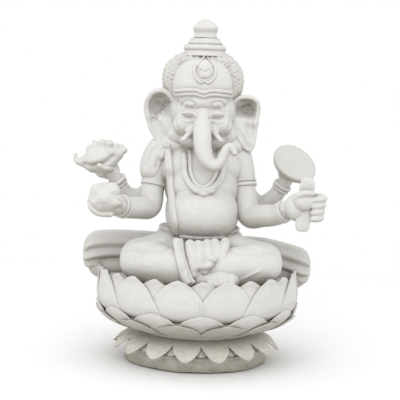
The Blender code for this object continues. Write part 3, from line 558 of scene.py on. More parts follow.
# %% Plinth, drooping ring and waist
plinth_radius, _, plinth_high = box_mm("plinth")[1]
(_, _, low_z), (ring_radius, _, high_z) = box_mm("drooping_petal_ring")
RING_COUNT, RING_PHASE = 16, -6.6


def rough_round(turn, row):
    """A hand-cut circle: three slow waves of a fraction of a percent."""
    return 1 + 0.006 * np.sin(3 * turn + 0.7) + 0.004 * np.sin(7 * turn + row) \
        + 0.003 * np.sin(16 * turn + 2 * row)


plinth_rows = [(2, 1.5), (plinth_radius * 0.6, 1.5), (plinth_radius - 1.5, 1.7),
               (plinth_radius - 0.3, 3.5), (plinth_radius - 2, 8.0), (plinth_radius - 4, 14.0),
               (plinth_radius - 6, 20.0), (plinth_radius - 8, 24.5), (plinth_radius - 10, plinth_high),
               (60, plinth_high), (2, plinth_high)]


def chipped(p, lay):
    """Low waves near the plinth's edge, and chips where a finer noise is high."""
    near_edge = ease(np.hypot(p[:, 0], p[:, 1]), 0.1, 0.12)
    chips = ease(grain(p, 5 * MM, 6), 0.5, 0.9) * ease(p[:, 2], 0.003, 0.006)
    return 0.9 * MM * grain(p, 14 * MM, 5) * near_edge - 0.8 * MM * chips


carve("plinth_stone", [lathe(smooth_curve(plinth_rows, 40), 180, rough_round)], ["plinth"],
      GROUND_STONE, voxel=2.2, passes=3, wear=0.6, relief=chipped)

droop = [(88, high_z - 2), (110, high_z - 3), (124, high_z - 7), (134, high_z - 13),
         (141, high_z - 19), (146.5, high_z - 25), (ring_radius + 0.5, low_z - 0.5)]
under = [(88, high_z - 5), (110, high_z - 7), (122, high_z - 12), (130, high_z - 18),
         (135, high_z - 22), (ring_radius - 9, low_z + 7)]
collar = [(2, plinth_high + 0.5), (118, plinth_high + 0.5), (124, plinth_high + 6),
          (122, high_z - 12), (112, high_z - 4), (100, high_z - 0.2), (2, high_z - 0.2)]
carve("drooping_petals",
      petal_row(droop, RING_COUNT, RING_PHASE, 12.9, 5.0, rim=1.2, rib=0.8, blunt=1.7, taper=0.85)
      + petal_row(under, RING_COUNT, RING_PHASE + 180 / RING_COUNT, 7.0, 4.0, rim=1.0, rib=0.5,
                  blunt=1.6, taper=0.9)
      + [lathe(collar, 128)], ["drooping_petal_ring"], GROUND_STONE, wear=0.35)

waist_low, waist_high = box_mm("waist_drum")
waist_rows = [(2, waist_low[2]), (waist_high[0], waist_low[2]), (waist_high[0] - 3, waist_low[2] + 3),
              (waist_high[0] - 3, waist_high[2] - 3), (waist_high[0], waist_high[2]),
              (2, waist_high[2])]
carve("waist_stone", [lathe(waist_rows, 128, rough_round)], ["waist_drum"],
      GROUND_STONE, wear=0.4)

# %% The bowl's two rows of petals and the seat
PETALS, BOWL_PHASE = 13, -10.6
PITCH = 360 / PETALS
(_, _, base), (_, _, rim_z) = box_mm("lower_petal_dish")
(_, _, foot), (wide, _, lip) = box_mm("upper_petal_dish")
(_, _, seat_foot), (seat_radius, _, seat_top) = box_mm("seat_disc")

lower_wall = [(2, base), (100, base), (120, base + 0.5), (138, base + 4), (153, base + 11),
              (164, base + 20), (170, base + 30), (2, foot - 0.6)]
low_row = [(116, base + 1), (142, base + 6), (161, base + 15), (173, base + 26), (178.5, base + 37),
           (180.5, rim_z + 1.0)]
under_row = [(114, base + 0.5), (141, base + 4), (160, base + 12), (172, base + 20),
             (178, base + 25), (182.5, base + 29)]
carve("lower_petals",
      [lathe(lower_wall, 160)]
      + petal_row(low_row, PETALS, BOWL_PHASE + PITCH / 2, 18, 6.0, rim=1.1, rib=0.4, blunt=2.2,
                  taper=0.72, lap=1.4)
      + petal_row(under_row, PETALS, BOWL_PHASE, 16, 5.0, rim=1.4, rib=0.6, blunt=1.8, taper=0.8,
                  lap=2.0),
      ["lower_petal_dish"], STONE, wear=0.35)

upper_wall = [(2, foot), (160, foot), (169, foot + 3), (173, foot + 14), (174, foot + 28),
              (173, seat_foot - 3), (166, seat_foot - 0.6), (2, seat_foot - 0.6)]
main_row = [(171, foot - 1), (176, foot + 7), (178.5, foot + 20), (178.5, foot + 36),
            (178, lip - 2), (wide - 1, lip + 13)]
inner_row = [(168, foot + 12), (172.5, foot + 24), (174.5, foot + 36), (174, foot + 44),
             (174, lip - 1), (176.5, lip + 12)]
carve("upper_petals",
      [lathe(upper_wall, 160)]
      + petal_row(main_row, PETALS, BOWL_PHASE, 19.5, 6.5, rim=1.1, rib=0.4, blunt=2.1,
                  taper=0.8, lap=1.6)
      + petal_row(inner_row, PETALS, BOWL_PHASE + PITCH / 2, 19, 6.0, rim=1.0, rib=0.4, blunt=1.9,
                  taper=0.8),
      ["upper_petal_dish"], STONE, wear=0.35)

seat_rows = [(2, seat_foot), (seat_radius - 2, seat_foot), (seat_radius, seat_foot + 3),
             (seat_radius - 1, seat_top - 2), (seat_radius - 5, seat_top), (2, seat_top)]
carve("seat_stone", [lathe(seat_rows, 128, rough_round)], ["seat_disc"], STONE)


# %% [markdown]
# ## Body and crossed legs
# The belly and chest are one soft column, and the legs are folded flat, with
# thick cloth over them. Overlapping egg shapes and bars are fused into one skin,
# as clay is built up before a carver copies it.

# %% Torso
BELLY_CREASE = [(-58, 232), (-40, 226), (-18, 222), (3, 221), (24, 222), (46, 227), (62, 233)]
torso = carve("torso_stone", [
    ball((4, -5, 266), (66, 80, 54), power=2.35), ball((3, -2, 312), (68, 64, 62)),
    ball((0, 0, 346), (77, 52, 42), power=2.3), ball((0, 4, 372), (82, 42, 24)),
    ball((0, 10, 205), (84, 62, 55)), ball((0, 28, 300), (62, 45, 84)),
    limb([(-62, 6, 373, 25), (-38, 8, 390, 27), (0, 8, 394, 30), (38, 8, 390, 27), (60, 6, 375, 25)]),
    limb([(0, 4, 360, 44), (0, 2, 397, 44)]),
    ball((48, -8, 388), (29, 28, 24)), ball((-46, -8, 388), (28, 28, 24))],
    ["torso"], STONE, voxel=2.0, passes=8,
    relief=lambda p, lay: -ridge(p, lay(BELLY_CREASE), 5.0, 3.0)
    - ridge(p, np.array([(3, 80, 235), (2, 74, 300), (0, 56, 350)]) * MM, 9.0, 3.0))


# %% Legs
def crossed_leg(side):
    """Thigh, knee and shin as one folded bolster of cloth, mirrored by the side."""
    shift = -2 if side < 0 else 8
    shapes = [limb([(side * 40, -18, 196, 38), (side * 70, -44, 193, 38),
                    (side * (96 + shift), -72, 187, 37)], flat=0.98),
              ball((side * (97 + shift), -72, 186), (42, 44, 38.5), power=2.3),
              limb([(side * (98 + shift), -84, 184, 35), (side * 74, -95, 183, 35),
                    (side * 46, -101, 179, 32), (side * 20, -104, 174, 26)])]
    fold = [(side * (128 + shift), 205), (side * (112 + shift), 208), (side * 88, 208),
            (side * 66, 209), (side * 50, 213)]
    low = [(side * 62, 158), (side * 84, 170), (side * 104, 180)]
    pad = [(side * 60, 220), (side * 84, 219), (side * 108, 215)]
    return shapes, lambda p, lay: -ridge(p, lay(fold), 3.0, 2.6) + ridge(p, lay(pad), 7, 2.4) + (
        ridge(p, lay(low), 2.4, 1.6) if side > 0 else 0)


for name, side in SIDE.items():
    shapes, relief = crossed_leg(side)
    carve(f"{name}_leg_stone", shapes, [f"{name}_leg"], STONE, voxel=1.8, passes=6, relief=relief)

# %% Foot and pleats between the legs
TOES = [(58, -140, 160, 7.5), (47, -145, 160, 6.5), (38, -147, 159, 6), (29, -148, 158, 6),
        (21, -147, 157, 5.5)]
carve("crossed_foot_stone",
      [limb([(-4, -118, 160, 10), (18, -126, 163, 13), (42, -126, 165, 15), (58, -120, 167, 13)],
            flat=0.9), ball((56, -124, 163), (16, 15, 14))]
      + [limb([(x - 4, y + 16, z + 6, r), (x, y + 4, z + 3, r), (x, y - 1, z - 1, 0.9 * r)])
         for x, y, z, r in TOES], ["crossed_foot"], STONE, voxel=1.3, passes=4)

carve("front_pleats_stone", [
    limb([(-16, -92, 218, 9), (-12, -112, 204, 10), (-8, -122, 186, 9), (-6, -124, 170, 8)]),
    limb([(0, -94, 218, 9), (2, -116, 203, 10), (3, -124, 186, 9)]),
    limb([(14, -94, 221, 8), (17, -118, 208, 9), (17, -127, 192, 8), (12, -130, 178, 7)]),
    limb([(28, -92, 221, 9), (31, -114, 210, 9), (27, -124, 196, 7), (20, -128, 188, 6)]),
    limb([(46, -86, 223, 9), (44, -106, 213, 9), (40, -118, 200, 8), (38, -122, 184, 8)]),
    ball((22, -128, 200), (10, 9, 8), (0, 30, 0)), ball((15, -133, 187), (12, 8, 7), (0, -25, 0)),
    ball((32, -122, 176), (9, 9, 10)), ball((12, -118, 172), (18, 12, 14))],
    ["front_pleats"], STONE, voxel=1.4, passes=4,
    relief=lambda p, lay: 0.7 * MM * grain(p, 7 * MM, 31))


# %% [markdown]
# ## Cloth ends behind the knees
# The ends of a shawl spread out behind each knee in four rolled folds. The
# section of each end is an ellipse whose radius swells four times on the front,
# and it shrinks along a rounded end.

# %% Drape ends
def drape(stations):
    """Fluted cloth: rows along X from (x, y, z, half depth, half height). The outline
    is an ellipse times 1 + a cos(9 angle) on the front, and its rows shrink over
    the last third as a quarter circle does, so the end is round."""
    rows = 52
    line = smooth_curve(stations, rows)
    turn = np.linspace(0, 2 * math.pi, 112, endpoint=False)[None, :]
    share = np.linspace(0, 1, rows)[:, None]
    late = np.clip((share - 0.66) / 0.34, 0, 0.985)
    end = np.sqrt(1 - late ** 2)
    front = np.clip(0.15 - np.cos(turn), 0, 1.15) / 1.15
    flute = 1 + (0.03 + 0.15 * share) * np.cos(9 * turn + 0.9 * np.sin(3.2 * share)) * front ** 0.5
    y = line[:, 1:2] + line[:, 3:4] * flute * end * np.cos(turn)
    z = line[:, 2:3] + line[:, 4:5] * flute * (0.25 + 0.75 * end) * np.sin(turn)
    return skin(np.stack([line[:, :1] + 0 * turn, y, z], axis=-1) * MM)


DRAPES = {
    "right": [(-50, 44, 190, 26, 31), (-110, 42, 191, 29, 32), (-150, 38, 191, 33, 33),
              (-184, 34, 189, 36, 33), (-202, 34, 184, 34, 32), (-211, 34, 181, 30, 29)],
    "left": [(50, 44, 188, 26, 31), (110, 42, 186, 29, 32), (150, 38, 179, 33, 33),
             (178, 34, 172, 36, 33), (196, 34, 168, 34, 32), (206, 34, 165, 30, 29)]}
for name, side in SIDE.items():
    low_end = ball((side * 158, 34, 158 if side < 0 else 150), (44, 30, 27), rows=32, columns=48)
    carve(f"{name}_drape_stone", [drape(DRAPES[name]), low_end], [f"{name}_back_drape"], SHADED_STONE,
          voxel=1.6, passes=2)

# %% [markdown]
# ## Arms and hands
# Two arms come forward at the waist and two rise behind. An arm is a bar that
# swells at the shoulder and thins to the wrist. Palms are flattened eggs, and
# each finger is a short bent bar, so the knuckles stay visible after fusing.

# %% Arm curves
ARMS = {
    "right_front": [(-66, 2, 364, 27), (-78, -2, 340, 23.5), (-85, -8, 308, 20.5),
                    (-89, -20, 275, 20.5), (-108, -44, 274, 19.5), (-128, -64, 276, 18.5),
                    (-142, -80, 281, 15.5), (-149, -88, 283, 14.5)],
    "left_front": [(64, 2, 366, 27), (74, -2, 340, 22.5), (79, -8, 306, 20.5),
                   (88, -20, 265, 21), (111, -46, 267, 20), (134, -68, 272, 18.5),
                   (147, -80, 280, 15.5), (155, -87, 284, 14.5)],
    "right_back": [(-62, 30, 350, 18), (-88, 40, 306, 16.5), (-112, 40, 286, 15.5),
                   (-136, 33, 292, 15), (-152, 22, 316, 13.5), (-163, 14, 333, 12.5)],
    "left_back": [(60, 30, 350, 18), (84, 40, 302, 16.5), (106, 40, 280, 15.5),
                  (130, 31, 290, 15), (147, 22, 314, 13.5), (156, 18, 332, 13)]}


def finger(points, radius):
    """Finger: a bar through its joints, a little thicker at the knuckle than at the tip."""
    radii = radius * np.interp(np.linspace(0, 1, len(points)), [0, 0.5, 1], [1.0, 1.04, 0.82])
    return limb(np.column_stack([points, radii]), count=20, sides=16)


sweet, tablet = middle("sweet_ball"), middle("writing_tablet")
shell, wheel = middle("conch"), middle("disc")


def near(centre, *offsets):
    """Points at offsets in millimetres from a centre."""
    return [np.asarray(centre) + np.array(offset) for offset in offsets]


HANDS = {
    "right_front": [ball(sweet + (8, 10, -15), (27, 22, 15), (0, -8, 0)),
                    ball((-151, -87, 281), (17, 16, 15))]
    + [finger(near(sweet, (8, 6 - 9 * k, -24), (-10, 5 - 9 * k, -25 + k),
                   (-22, 4 - 9 * k, -18 + k), (-27, 2 - 7 * k, -8 + k)), 6.2) for k in range(3)]
    + [finger(near(sweet, (22, 0, -14), (24, -10, -5), (20, -18, 5)), 6.0)],
    "left_front": [limb([(150, -84, 284, 15), (163, -86, 289, 16.5), (171, -84, 294, 17)]),
                   ball(tablet + (-16, 0, 2), (18, 13, 24)), ball(tablet + (2, 12, 2), (22, 9, 22)),
                   ball(tablet + (-3, -11, 13), (18, 8, 16))]
    + [finger(near(tablet, (2, 14, 18 - 11 * k), (20 - k, 6, 20 - 11 * k), (31 - 1.5 * k, -4, 19 - 11 * k),
                   (24 - 1.5 * k, -11, 17 - 11 * k), (13, -10, 16 - 11 * k)), 6.8)
       for k in range(4)]
    + [finger(near(tablet, (-19, -6, 12), (-13, -12, 22), (-3, -16, 27), (9, -14, 27)), 6.4)],
    "right_back": [ball(shell + (14, 10, -24), (21, 17, 18), (0, 25, 0)),
                   ball(shell + (4, 0, -29), (15, 14, 10), (0, 12, 0))]
    + [finger(near(shell, (16 - 12 * k, 18, -20), (14 - 12 * k, 30, -4), (12 - 12 * k, 28, 12),
                   (10 - 12 * k, 16, 24)), 5.6) for k in range(3)]
    + [finger(near(shell, (22, -8, -20), (13, -24, -20), (0, -30, -14)), 6.2)],
    "left_back": [ball((158, 20, 340), (19, 17, 17))]
    + [finger(near((156, 12, 341), (-8 + 9 * k, 8, 2), (-10 + 11 * k, 26, 12), (-8 + 12 * k, 24, 26)),
              5.6) for k in range(4)]
    + [finger(near((156, 12, 341), (-10, -4, 0), (-8, -14, 0), (4, -20, 0)), 6.4)]}

for arm, stations in ARMS.items():
    carve(f"{arm}_arm_stone", [limb(stations, count=60, sides=36)] + HANDS[arm],
          [f"{arm}_upper_arm", f"{arm}_forearm", f"{arm}_hand"], STONE, voxel=1.3, passes=5)


# %% Arm rings
def ring_on(stations, share, radius, tube):
    """Hoop round a limb at a share of its length: a circle across the limb's curve,
    radius wider than the limb, in a tube of its own radius."""
    line = smooth_curve(stations, 101) * MM
    spot = int(round(100 * share))
    along = unit(line[min(spot + 1, 100), :3] - line[max(spot - 1, 0), :3])
    across = unit(np.cross(along, (0, 1, 0.2)))
    other = np.cross(along, across)
    turn = np.linspace(0, 2 * math.pi, 56, endpoint=False)[:, None]
    size = line[spot, 3] + radius * MM
    return hoop(line[spot, :3] + size * (np.cos(turn) * across + np.sin(turn) * other),
                tube * MM, 0.8)


# For each kind: gap to its thin ring, clearance, two tube radii, and its place on each arm
RINGS = {"armband": (0.03, 0.0, 4.0, 2.6, {"right_front": 0.265, "left_front": 0.24}),
         "bracelet": (0.05, 0.6, 4.2, 2.8, {"right_front": 0.8, "left_front": 0.84,
                                            "right_back": 0.8, "left_back": 0.82})}
for kind, (gap, clear, thick, thin, places) in RINGS.items():
    for arm, share in places.items():
        carve(f"{arm}_{kind}_stone", [ring_on(ARMS[arm], share, clear, thick),
                                      ring_on(ARMS[arm], share - gap, clear, thin)],
              [f"{arm}_{kind}"], STONE)

# %% [markdown]
# ## What the hands hold
# A round sweet, a slim tablet, a shell with a spiral and knobs, and a thick
# disc. Each is turned or swept, since a carver would rough it to the same
# simple form first.

# %% Sweet, tablet, shell and disc
sweet_radius = 0.5 * np.ptp(box_mm("sweet_ball")[:, 2])
LUMPS = [(-13, -9, 13, 15), (9, -9, 14, 15), (-3, -16, 2, 14.5), (15, -11, -2, 13), (-19, -8, -3, 13)]
carve("sweet_stone", [ball(sweet + (-3, 0, 0), (sweet_radius + 3.6,) * 3)]
      + [ball(sweet + (x, y, z), (r, r, r)) for x, y, z, r in LUMPS],
      ["sweet_ball"], STONE, voxel=1.5, passes=12, wear=0.8)

tablet_half = 0.5 * np.ptp(box_mm("writing_tablet")[:, 2])
carve("tablet_stone",
      [ball(tablet + (-0.5, -4, 7), (13, 4.8, tablet_half + 1.5), (0, 4.6, 0), rows=60, power=5)],
      ["writing_tablet"], STONE, voxel=1.0, passes=3)

SHELL_LINE = [(shell + offset).tolist() + [radius] for offset, radius in (
    ((43, 2, 12), 4.5), ((38, 0, 11), 8.0), ((28, -2, 6), 14.0), ((12, -3, -2), 25.0),
    ((-4, -4, -5), 28.0), ((-17, -3, -8), 22.0), ((-29, -2, -10), 13.0), ((-38, -1, -10), 7.5),
    ((-45, 0, -6), 5.0), ((-46, 0, 2), 3.6))]


def spiral(share, turn):
    """Shell whorls: a ridge that winds five times along the shell."""
    return 1 + 0.075 * np.cos(turn - 2 * math.pi * 5 * share) * np.sin(math.pi * share) ** 0.5


KNOBS = [(36, 2, 17, 6.5), (27, -2, 19, 6.5), (15, -4, 23, 8), (3, -5, 24.5, 8), (-9, -5, 20, 8),
         (-19, -4, 13, 8), (42, -2, 13, 6)]
carve("shell_stone", [limb(SHELL_LINE, count=90, sides=48, ripple=spiral)]
      + [ball(shell + np.array((x, y, z)), (r, r, r)) for x, y, z, r in KNOBS],
      ["conch"], STONE, voxel=1.2, passes=4,
      relief=lambda p, lay: -ridge(p, lay([(shell[0] + x, shell[2] + z) for x, z in (
          (24, 2), (10, -10), (-8, -16), (-26, -14))]), 4.5, 4.0)
      + ridge(p, lay([(shell[0] + x, shell[2] + z) for x, z in (
          (24, 12), (8, 2), (-10, -6), (-28, -8))]), 6.0, 2.0))


def tilted(shape, centre, normal):
    """A turned shape whose own Z is brought to a normal and whose foot is at a centre."""
    points, faces = shape
    normal = unit(normal)
    across = unit(np.cross(normal, (0, 1, 0)))
    frame_rows = np.vstack([across, np.cross(normal, across), normal])
    return points @ frame_rows + np.asarray(centre) * MM, faces


disc_rows = [(0.5, -14), (26, -14), (35, -12), (39, -8), (41, -3), (42, 1.0), (41, 3.5), (38, 5),
             (35.5, 4.2), (14, 4.8), (0.5, 5.0)]
carve("disc_stone",
      [tilted(lathe(disc_rows, 96), wheel + (-2, 0, -5), (0.39, -0.61, 0.67))],
      ["disc"], SHADED_STONE, wear=0.5)

# %% [markdown]
# ## Head, trunk and ears
# The elephant's head has a broad brow, full cheeks and closed eyes. The trunk
# drops straight, turns to the figure's left and curls over at its tip. Lids,
# brow lines and wrinkles are ridges and trenches along curves on the fused skin.

# %% Head with trunk
TRUNK = [(0, -46, 468, 9), (0, -57, 450, 12), (0, -67, 430, 14.5), (0, -77, 408, 16),
         (2, -84, 386, 15.5), (8, -89, 367, 14), (20, -92, 356.5, 12), (31, -93, 361, 10),
         (38, -93, 375, 8.2), (43, -93, 387, 7.2), (50, -93, 388.5, 6.8), (56, -93, 379, 5.8)]
FACE = [ball((0, -8, 446), (59, 53, 47), power=2.3), ball((0, -33, 440), (49, 34, 45), power=2.5),
        ball((-27, -40, 424), (25, 26, 22), power=2.2), ball((27, -40, 424), (25, 26, 22), power=2.2),
        ball((-23, -56, 443.5), (14, 12, 10)), ball((23, -56, 443.5), (14, 12, 10)),
        ball((0, -42, 466), (43, 31, 21), power=2.4), ball((0, -18, 404), (46, 38, 22)),
        ball((42, -16, 405), (22, 26, 24)), ball((-42, -16, 405), (22, 26, 24)),
        ball((-20, -38, 396), (20, 20, 14)), ball((20, -38, 396), (20, 20, 14)),
        limb([(0, 0, 398, 44), (0, 0, 420, 44)]), ball((0, -57, 436), (22, 15, 26)),
        limb([(-12, -52, 424, 14), (-22, -64, 412, 7.5)]),
        limb([(12, -52, 424, 14), (22, -64, 412, 7.5)])]


def face_relief(p, lay):
    """Brow lines, lids and lid slits on both sides, then rings of wrinkles on the trunk."""
    lift = np.zeros(len(p))
    for side in (-1, 1):
        brow = [(side * 41, 447), (side * 38, 457), (side * 28, 465), (side * 17, 462),
                (side * 15, 455)]
        slit = [(side * 36, 441), (side * 28, 437), (side * 20, 435.5), (side * 11, 437)]
        crease = [(side * 36, 446), (side * 28, 452.5), (side * 18, 452), (side * 11, 444)]
        lid = [(side * 33, 444), (side * 24, 446), (side * 14, 443)]
        cheek = [(side * 36, 434), (side * 27, 430.5), (side * 17, 431)]
        fold = [(side * 48, 430), (side * 45, 418), (side * 38, 407)]
        lift += -ridge(p, lay(brow), 2.6, 2.2) - ridge(p, lay(slit), 1.6, 2.4)
        lift += ridge(p, lay(lid), 3.6, 1.8) - ridge(p, lay(crease), 1.5, 1.4)
        lift += ridge(p, lay(cheek), 3.4, 1.6) - ridge(p, lay(fold), 3.0, 3.0)
    on_trunk = ease(-p[:, 1], 0.066, 0.082) * ease(-p[:, 2], -0.428, -0.412)
    wrinkles = np.sin(p[:, 2] / MM * 2 * math.pi / 6.5 + 2 * grain(p, 16 * MM, 12))
    return lift + 0.14 * MM * wrinkles * on_trunk


head = carve("head_stone", FACE + [limb(TRUNK, count=110, sides=40)], ["head", "trunk"], STONE,
             voxel=1.2, passes=4, relief=face_relief, wear=0.15)

for name, side in SIDE.items():
    carve(f"{name}_tusk_stone",
          [limb([(side * 19, -66, 412, 4.8), (side * 27, -75, 404.5, 4.6), (side * 33, -80, 398, 3.8)])],
          [f"{name}_tusk"], STONE, wear=0.12)


# %% Ears
def fan(outline, hub, hollow, thick):
    """Sheet of an ear: rows go from the hub to the outline (mm). The sheet sinks
    back by hollow(share, height), and the back face is thick behind the front one."""
    rim = smooth_curve(np.vstack([outline, outline[:1]]), 97)[:-1]
    share = np.linspace(0.02, 1, 26)[:, None]
    flat = np.asarray(hub) + share[..., None] * (rim - np.asarray(hub))[None]
    front = flat.copy()
    front[..., 1] += hollow(share, flat[..., 2])
    back = flat.copy()
    back[..., 1] += hollow(share, flat[..., 2]) + thick
    return skin(np.concatenate([front, back[::-1]]) * MM)


EARS = {
    "right": dict(outline=[(-50, -18, 460), (-58, -18, 472), (-72, -18, 481), (-88, -16, 478),
                           (-98, -12, 466), (-101, -8, 450), (-97, -8, 432), (-93, -8, 416),
                           (-86, -10, 402), (-78, -14, 392), (-64, -20, 388), (-50, -26, 394),
                           (-44, -28, 410), (-46, -24, 436)],
                  hub=(-80, 0, 456)),
    "left": dict(outline=[(50, -18, 458), (58, -16, 468), (70, -16, 474), (86, -14, 473),
                          (97, -10, 463), (98, -8, 447), (95, -8, 430), (94, -8, 414),
                          (92, -10, 396), (86, -14, 380), (76, -20, 384), (71, -24, 391),
                          (66, -26, 398), (60, -26, 409), (54, -28, 414), (44, -28, 424),
                          (44, -26, 442)], hub=(80, 0, 455))}
EAR_FOLDS = {
    "right": lambda p, lay: -ridge(p, lay([(-64, 462), (-74, 450), (-86, 430)]), 4.2, 6.0)
    - ridge(p, lay([(-93, 462), (-82, 469), (-70, 465)]), 6.0, 6.5)
    + ridge(p, lay([(-90, 456), (-80, 450), (-70, 442)]), 3.5, 2.5)
    + ridge(p, lay([(-78, 436), (-66, 424), (-58, 408)]), 9, 3.5),
    "left": lambda p, lay: -ridge(p, lay([(60, 457), (74, 459), (90, 457)]), 7.0, 8.0)
    - ridge(p, lay([(74, 450), (90, 447)]), 5.0, 5.0)
    + ridge(p, lay([(58, 436), (76, 432), (90, 428)]), 8.0, 3.5)
    + ridge(p, lay([(66, 420), (78, 404), (86, 392)]), 7.0, 3.0)}
ROLLED = {"right": (0, 7), "left": (0, 6)}      # outline points under the thick roll


def cupped(share, height):
    """The upper lobe sinks 15 mm behind its rim; below, the flap bulges by 5 mm."""
    high = ease(height, 432, 450)
    return 15 * (1 - share ** 2) * high - 5 * (1 - share ** 2) * (1 - high)


ear_roll = {"right": 5.2, "left": 4.4}
for name, side in SIDE.items():
    ear = EARS[name]
    first, last = ROLLED[name]
    rolled = [point + (ear_roll[name],) for point in ear["outline"][first:last]]
    edge = [point + (4.2 - 0.15 * k,) for k, point in enumerate(ear["outline"][last - 1:])]
    carve(f"{name}_ear_stone",
          [fan(hollow=cupped, thick=8, **ear), limb(rolled, count=60, sides=18),
           limb(edge, count=60, sides=14)],
          [f"{name}_ear"], STONE, voxel=1.3, passes=5, relief=EAR_FOLDS[name], wear=0.3)

# %% [markdown]
# ## Crown
# A smooth cap stands in front of a wide halo that is drilled with rows of small
# pits between curls. Above are two soft rings and a bell-shaped finial. A
# leaf-shaped plaque with a rim is on the cap, and a double roll is at the brow.

# %% Halo and cap
def halo_pits(p, lay):
    """Curls: 26 columns round the halo and a row each 8 mm, as a checkerboard of low
    bumps and drilled hollows that fades out at the halo's foot and top."""
    turn = np.arctan2(p[:, 0], -(p[:, 1] - 14 * MM))
    column = np.cos(turn * 26)
    row = np.cos((p[:, 2] - 0.487) / MM * 2 * math.pi / 8.0)
    fade = ease(p[:, 2], 0.490, 0.500) * ease(-p[:, 2], -0.552, -0.545)
    return (0.9 * MM * (column * row) + 0.7 * MM * column) * fade \
        + 0.8 * MM * grain(p, 6 * MM, 71) * fade


carve("halo_stone", [
    ball((-2, 20, 499), (73, 46, 54), power=2.5, rows=44, columns=64),
    ball((-2, -2, 500), (71, 32, 53), power=2.4, rows=44, columns=64),
    ball((0, 4, 531), (54, 46, 25), power=2.3, rows=44, columns=64)],
    ["crown_back"], SHADED_STONE, voxel=1.6, passes=4, relief=halo_pits, wear=0.4)
carve("cap_stone", [
    ball((-2, -20, 489), (53, 54, 54), power=2.25, rows=44, columns=64)],
    ["crown_dome"], STONE, voxel=1.8, passes=6)


# %% Rings and finial
def tier(node, rows, wave):
    """Soft ring of the crown: rows of (radius, share of its height), with small leaves
    that wave round its widest part."""
    low, high = box_mm(node)
    profile = smooth_curve([(radius, low[2] + share * (high[2] - low[2])) for radius, share in rows],
                           40)
    carve(f"{node}_stone",
          [lathe(profile, 144,
                 lambda turn, row: 1 + wave * np.cos(16 * turn) * np.sin(math.pi * row / 39) ** 2)],
          [node], STONE, wear=0.4)


tier("lower_crown_tier", [(1, -0.9), (40, -0.9), (38, -0.5), (35.5, -0.12), (35.8, 0.05),
                          (36.9, 0.2), (37.4, 0.45), (36.6, 0.75), (33, 0.97), (30, 1.0), (1, 1.0)],
     0.016)
tier("upper_crown_tier", [(1, 0), (28.5, 0.0), (30.2, 0.15), (30.0, 0.42), (27.2, 0.62),
                          (26.4, 0.8), (24, 1.0), (1, 1.0)], 0.012)
(_, _, f0), (_, _, f1) = box_mm("crown_finial")
finial_rows = [(0.5, f0), (20.6, f0), (21.0, f0 + 2), (19.9, f0 + 6), (20.2, f0 + 10),
               (21.8, f0 + 14), (22.4, f0 + 18), (21.2, f0 + 21.5), (17.0, f0 + 25),
               (11.8, f0 + 29), (6.4, f1 - 1.4), (0.5, f1)]
carve("finial_stone", [lathe(smooth_curve(finial_rows, 60), 96)], ["crown_finial"], STONE)


# %% [markdown]
# ## Ornament laid on the body
# Straps, chains and bands follow the skin they lie on. Rays are sent from the
# front to the finished skin, and a rounded strip is carried along the points
# where they land, facing out along the skin.

# %% Strips along a skin
def strip(path, normals, widths, lift, sides=20, power=3.0, sink=0.35):
    """Rounded strip: the section is a superellipse of half width across the path and
    half lift along the normal, set into the skin by a share of its lift."""
    path, normals = smooth_curve(path, 4 * len(path)), unit(smooth_curve(normals, 4 * len(path)))
    tangent = unit(np.gradient(path, axis=0))
    across = unit(np.cross(tangent, normals))
    out = np.cross(across, tangent)
    turn = np.linspace(0, 2 * math.pi, sides, endpoint=False)[None, :, None]
    half = np.interp(np.linspace(0, 1, len(path)), np.linspace(0, 1, len(widths)), widths) * MM
    return skin(path[:, None]
                + half[:, None, None] * rounded(np.cos(turn), power) * across[:, None]
                + lift * MM * (rounded(np.sin(turn), power) + 1 - 2 * sink) * out[:, None])


# %% Sash, belly cord and collar
figure = skin_tree(torso, bpy.data.objects["right_front_arm_stone"],
                   *[piece for piece in PIECES if "leg" in piece.name or "pleats" in piece.name])
SASH = [(-62, 388), (-60, 376), (-57, 360), (-55, 345), (-53.5, 330), (-51, 310), (-48, 290),
        (-45, 270), (-42, 250), (-39, 232)]
spots, outs = landed(figure, SASH)
carve("sash_stone", [strip(spots, outs, [8, 7.5, 7.5, 8], 5.0, sink=0.42)], ["long_sash"], STONE)
TAIL = [(-38, 226), (-36, 212), (-33, 200), (-29, 188), (-25, 176), (-19, 164), (-13, 156)]
spots, outs = landed(figure, TAIL)
hung = np.interp(-spots[:, 2], [-0.226, -0.2, -0.15], [-0.095, -0.118, -0.14])
spots[:, 1] = np.minimum(spots[:, 1], hung)      # the tail hangs in front of hollows
carve("sash_tail_stone", [strip(spots, outs, [8, 8, 7.5, 7], 5),
                          strip(spots + (0.006, 0.002, 0), outs, [4, 5, 6, 7], 3.5)],
      ["sash_tail"], STONE)

turn = np.linspace(0, 2 * math.pi, 120, endpoint=False)
body_tree = skin_tree(torso)
CORD_HEIGHT, CORD_DIP, CORD_MIDDLE = 0.236, 0.009, 0.003   # the dip is at the front; metres
cord_spots = []
for angle in turn:
    level = CORD_HEIGHT - CORD_DIP * max(0.0, math.cos(angle))
    middle_spot = mathutils.Vector((CORD_MIDDLE, 0, level))
    start = mathutils.Vector((0.3 * math.sin(angle) + CORD_MIDDLE, -0.3 * math.cos(angle), level))
    cord_spots.append(body_tree.ray_cast(start, middle_spot - start)[0])
cord_spots = np.array(cord_spots)
carve("belly_cord_stone", [hoop(cord_spots, 4.8 * MM, 0.9)],
      ["belly_band"], STONE)

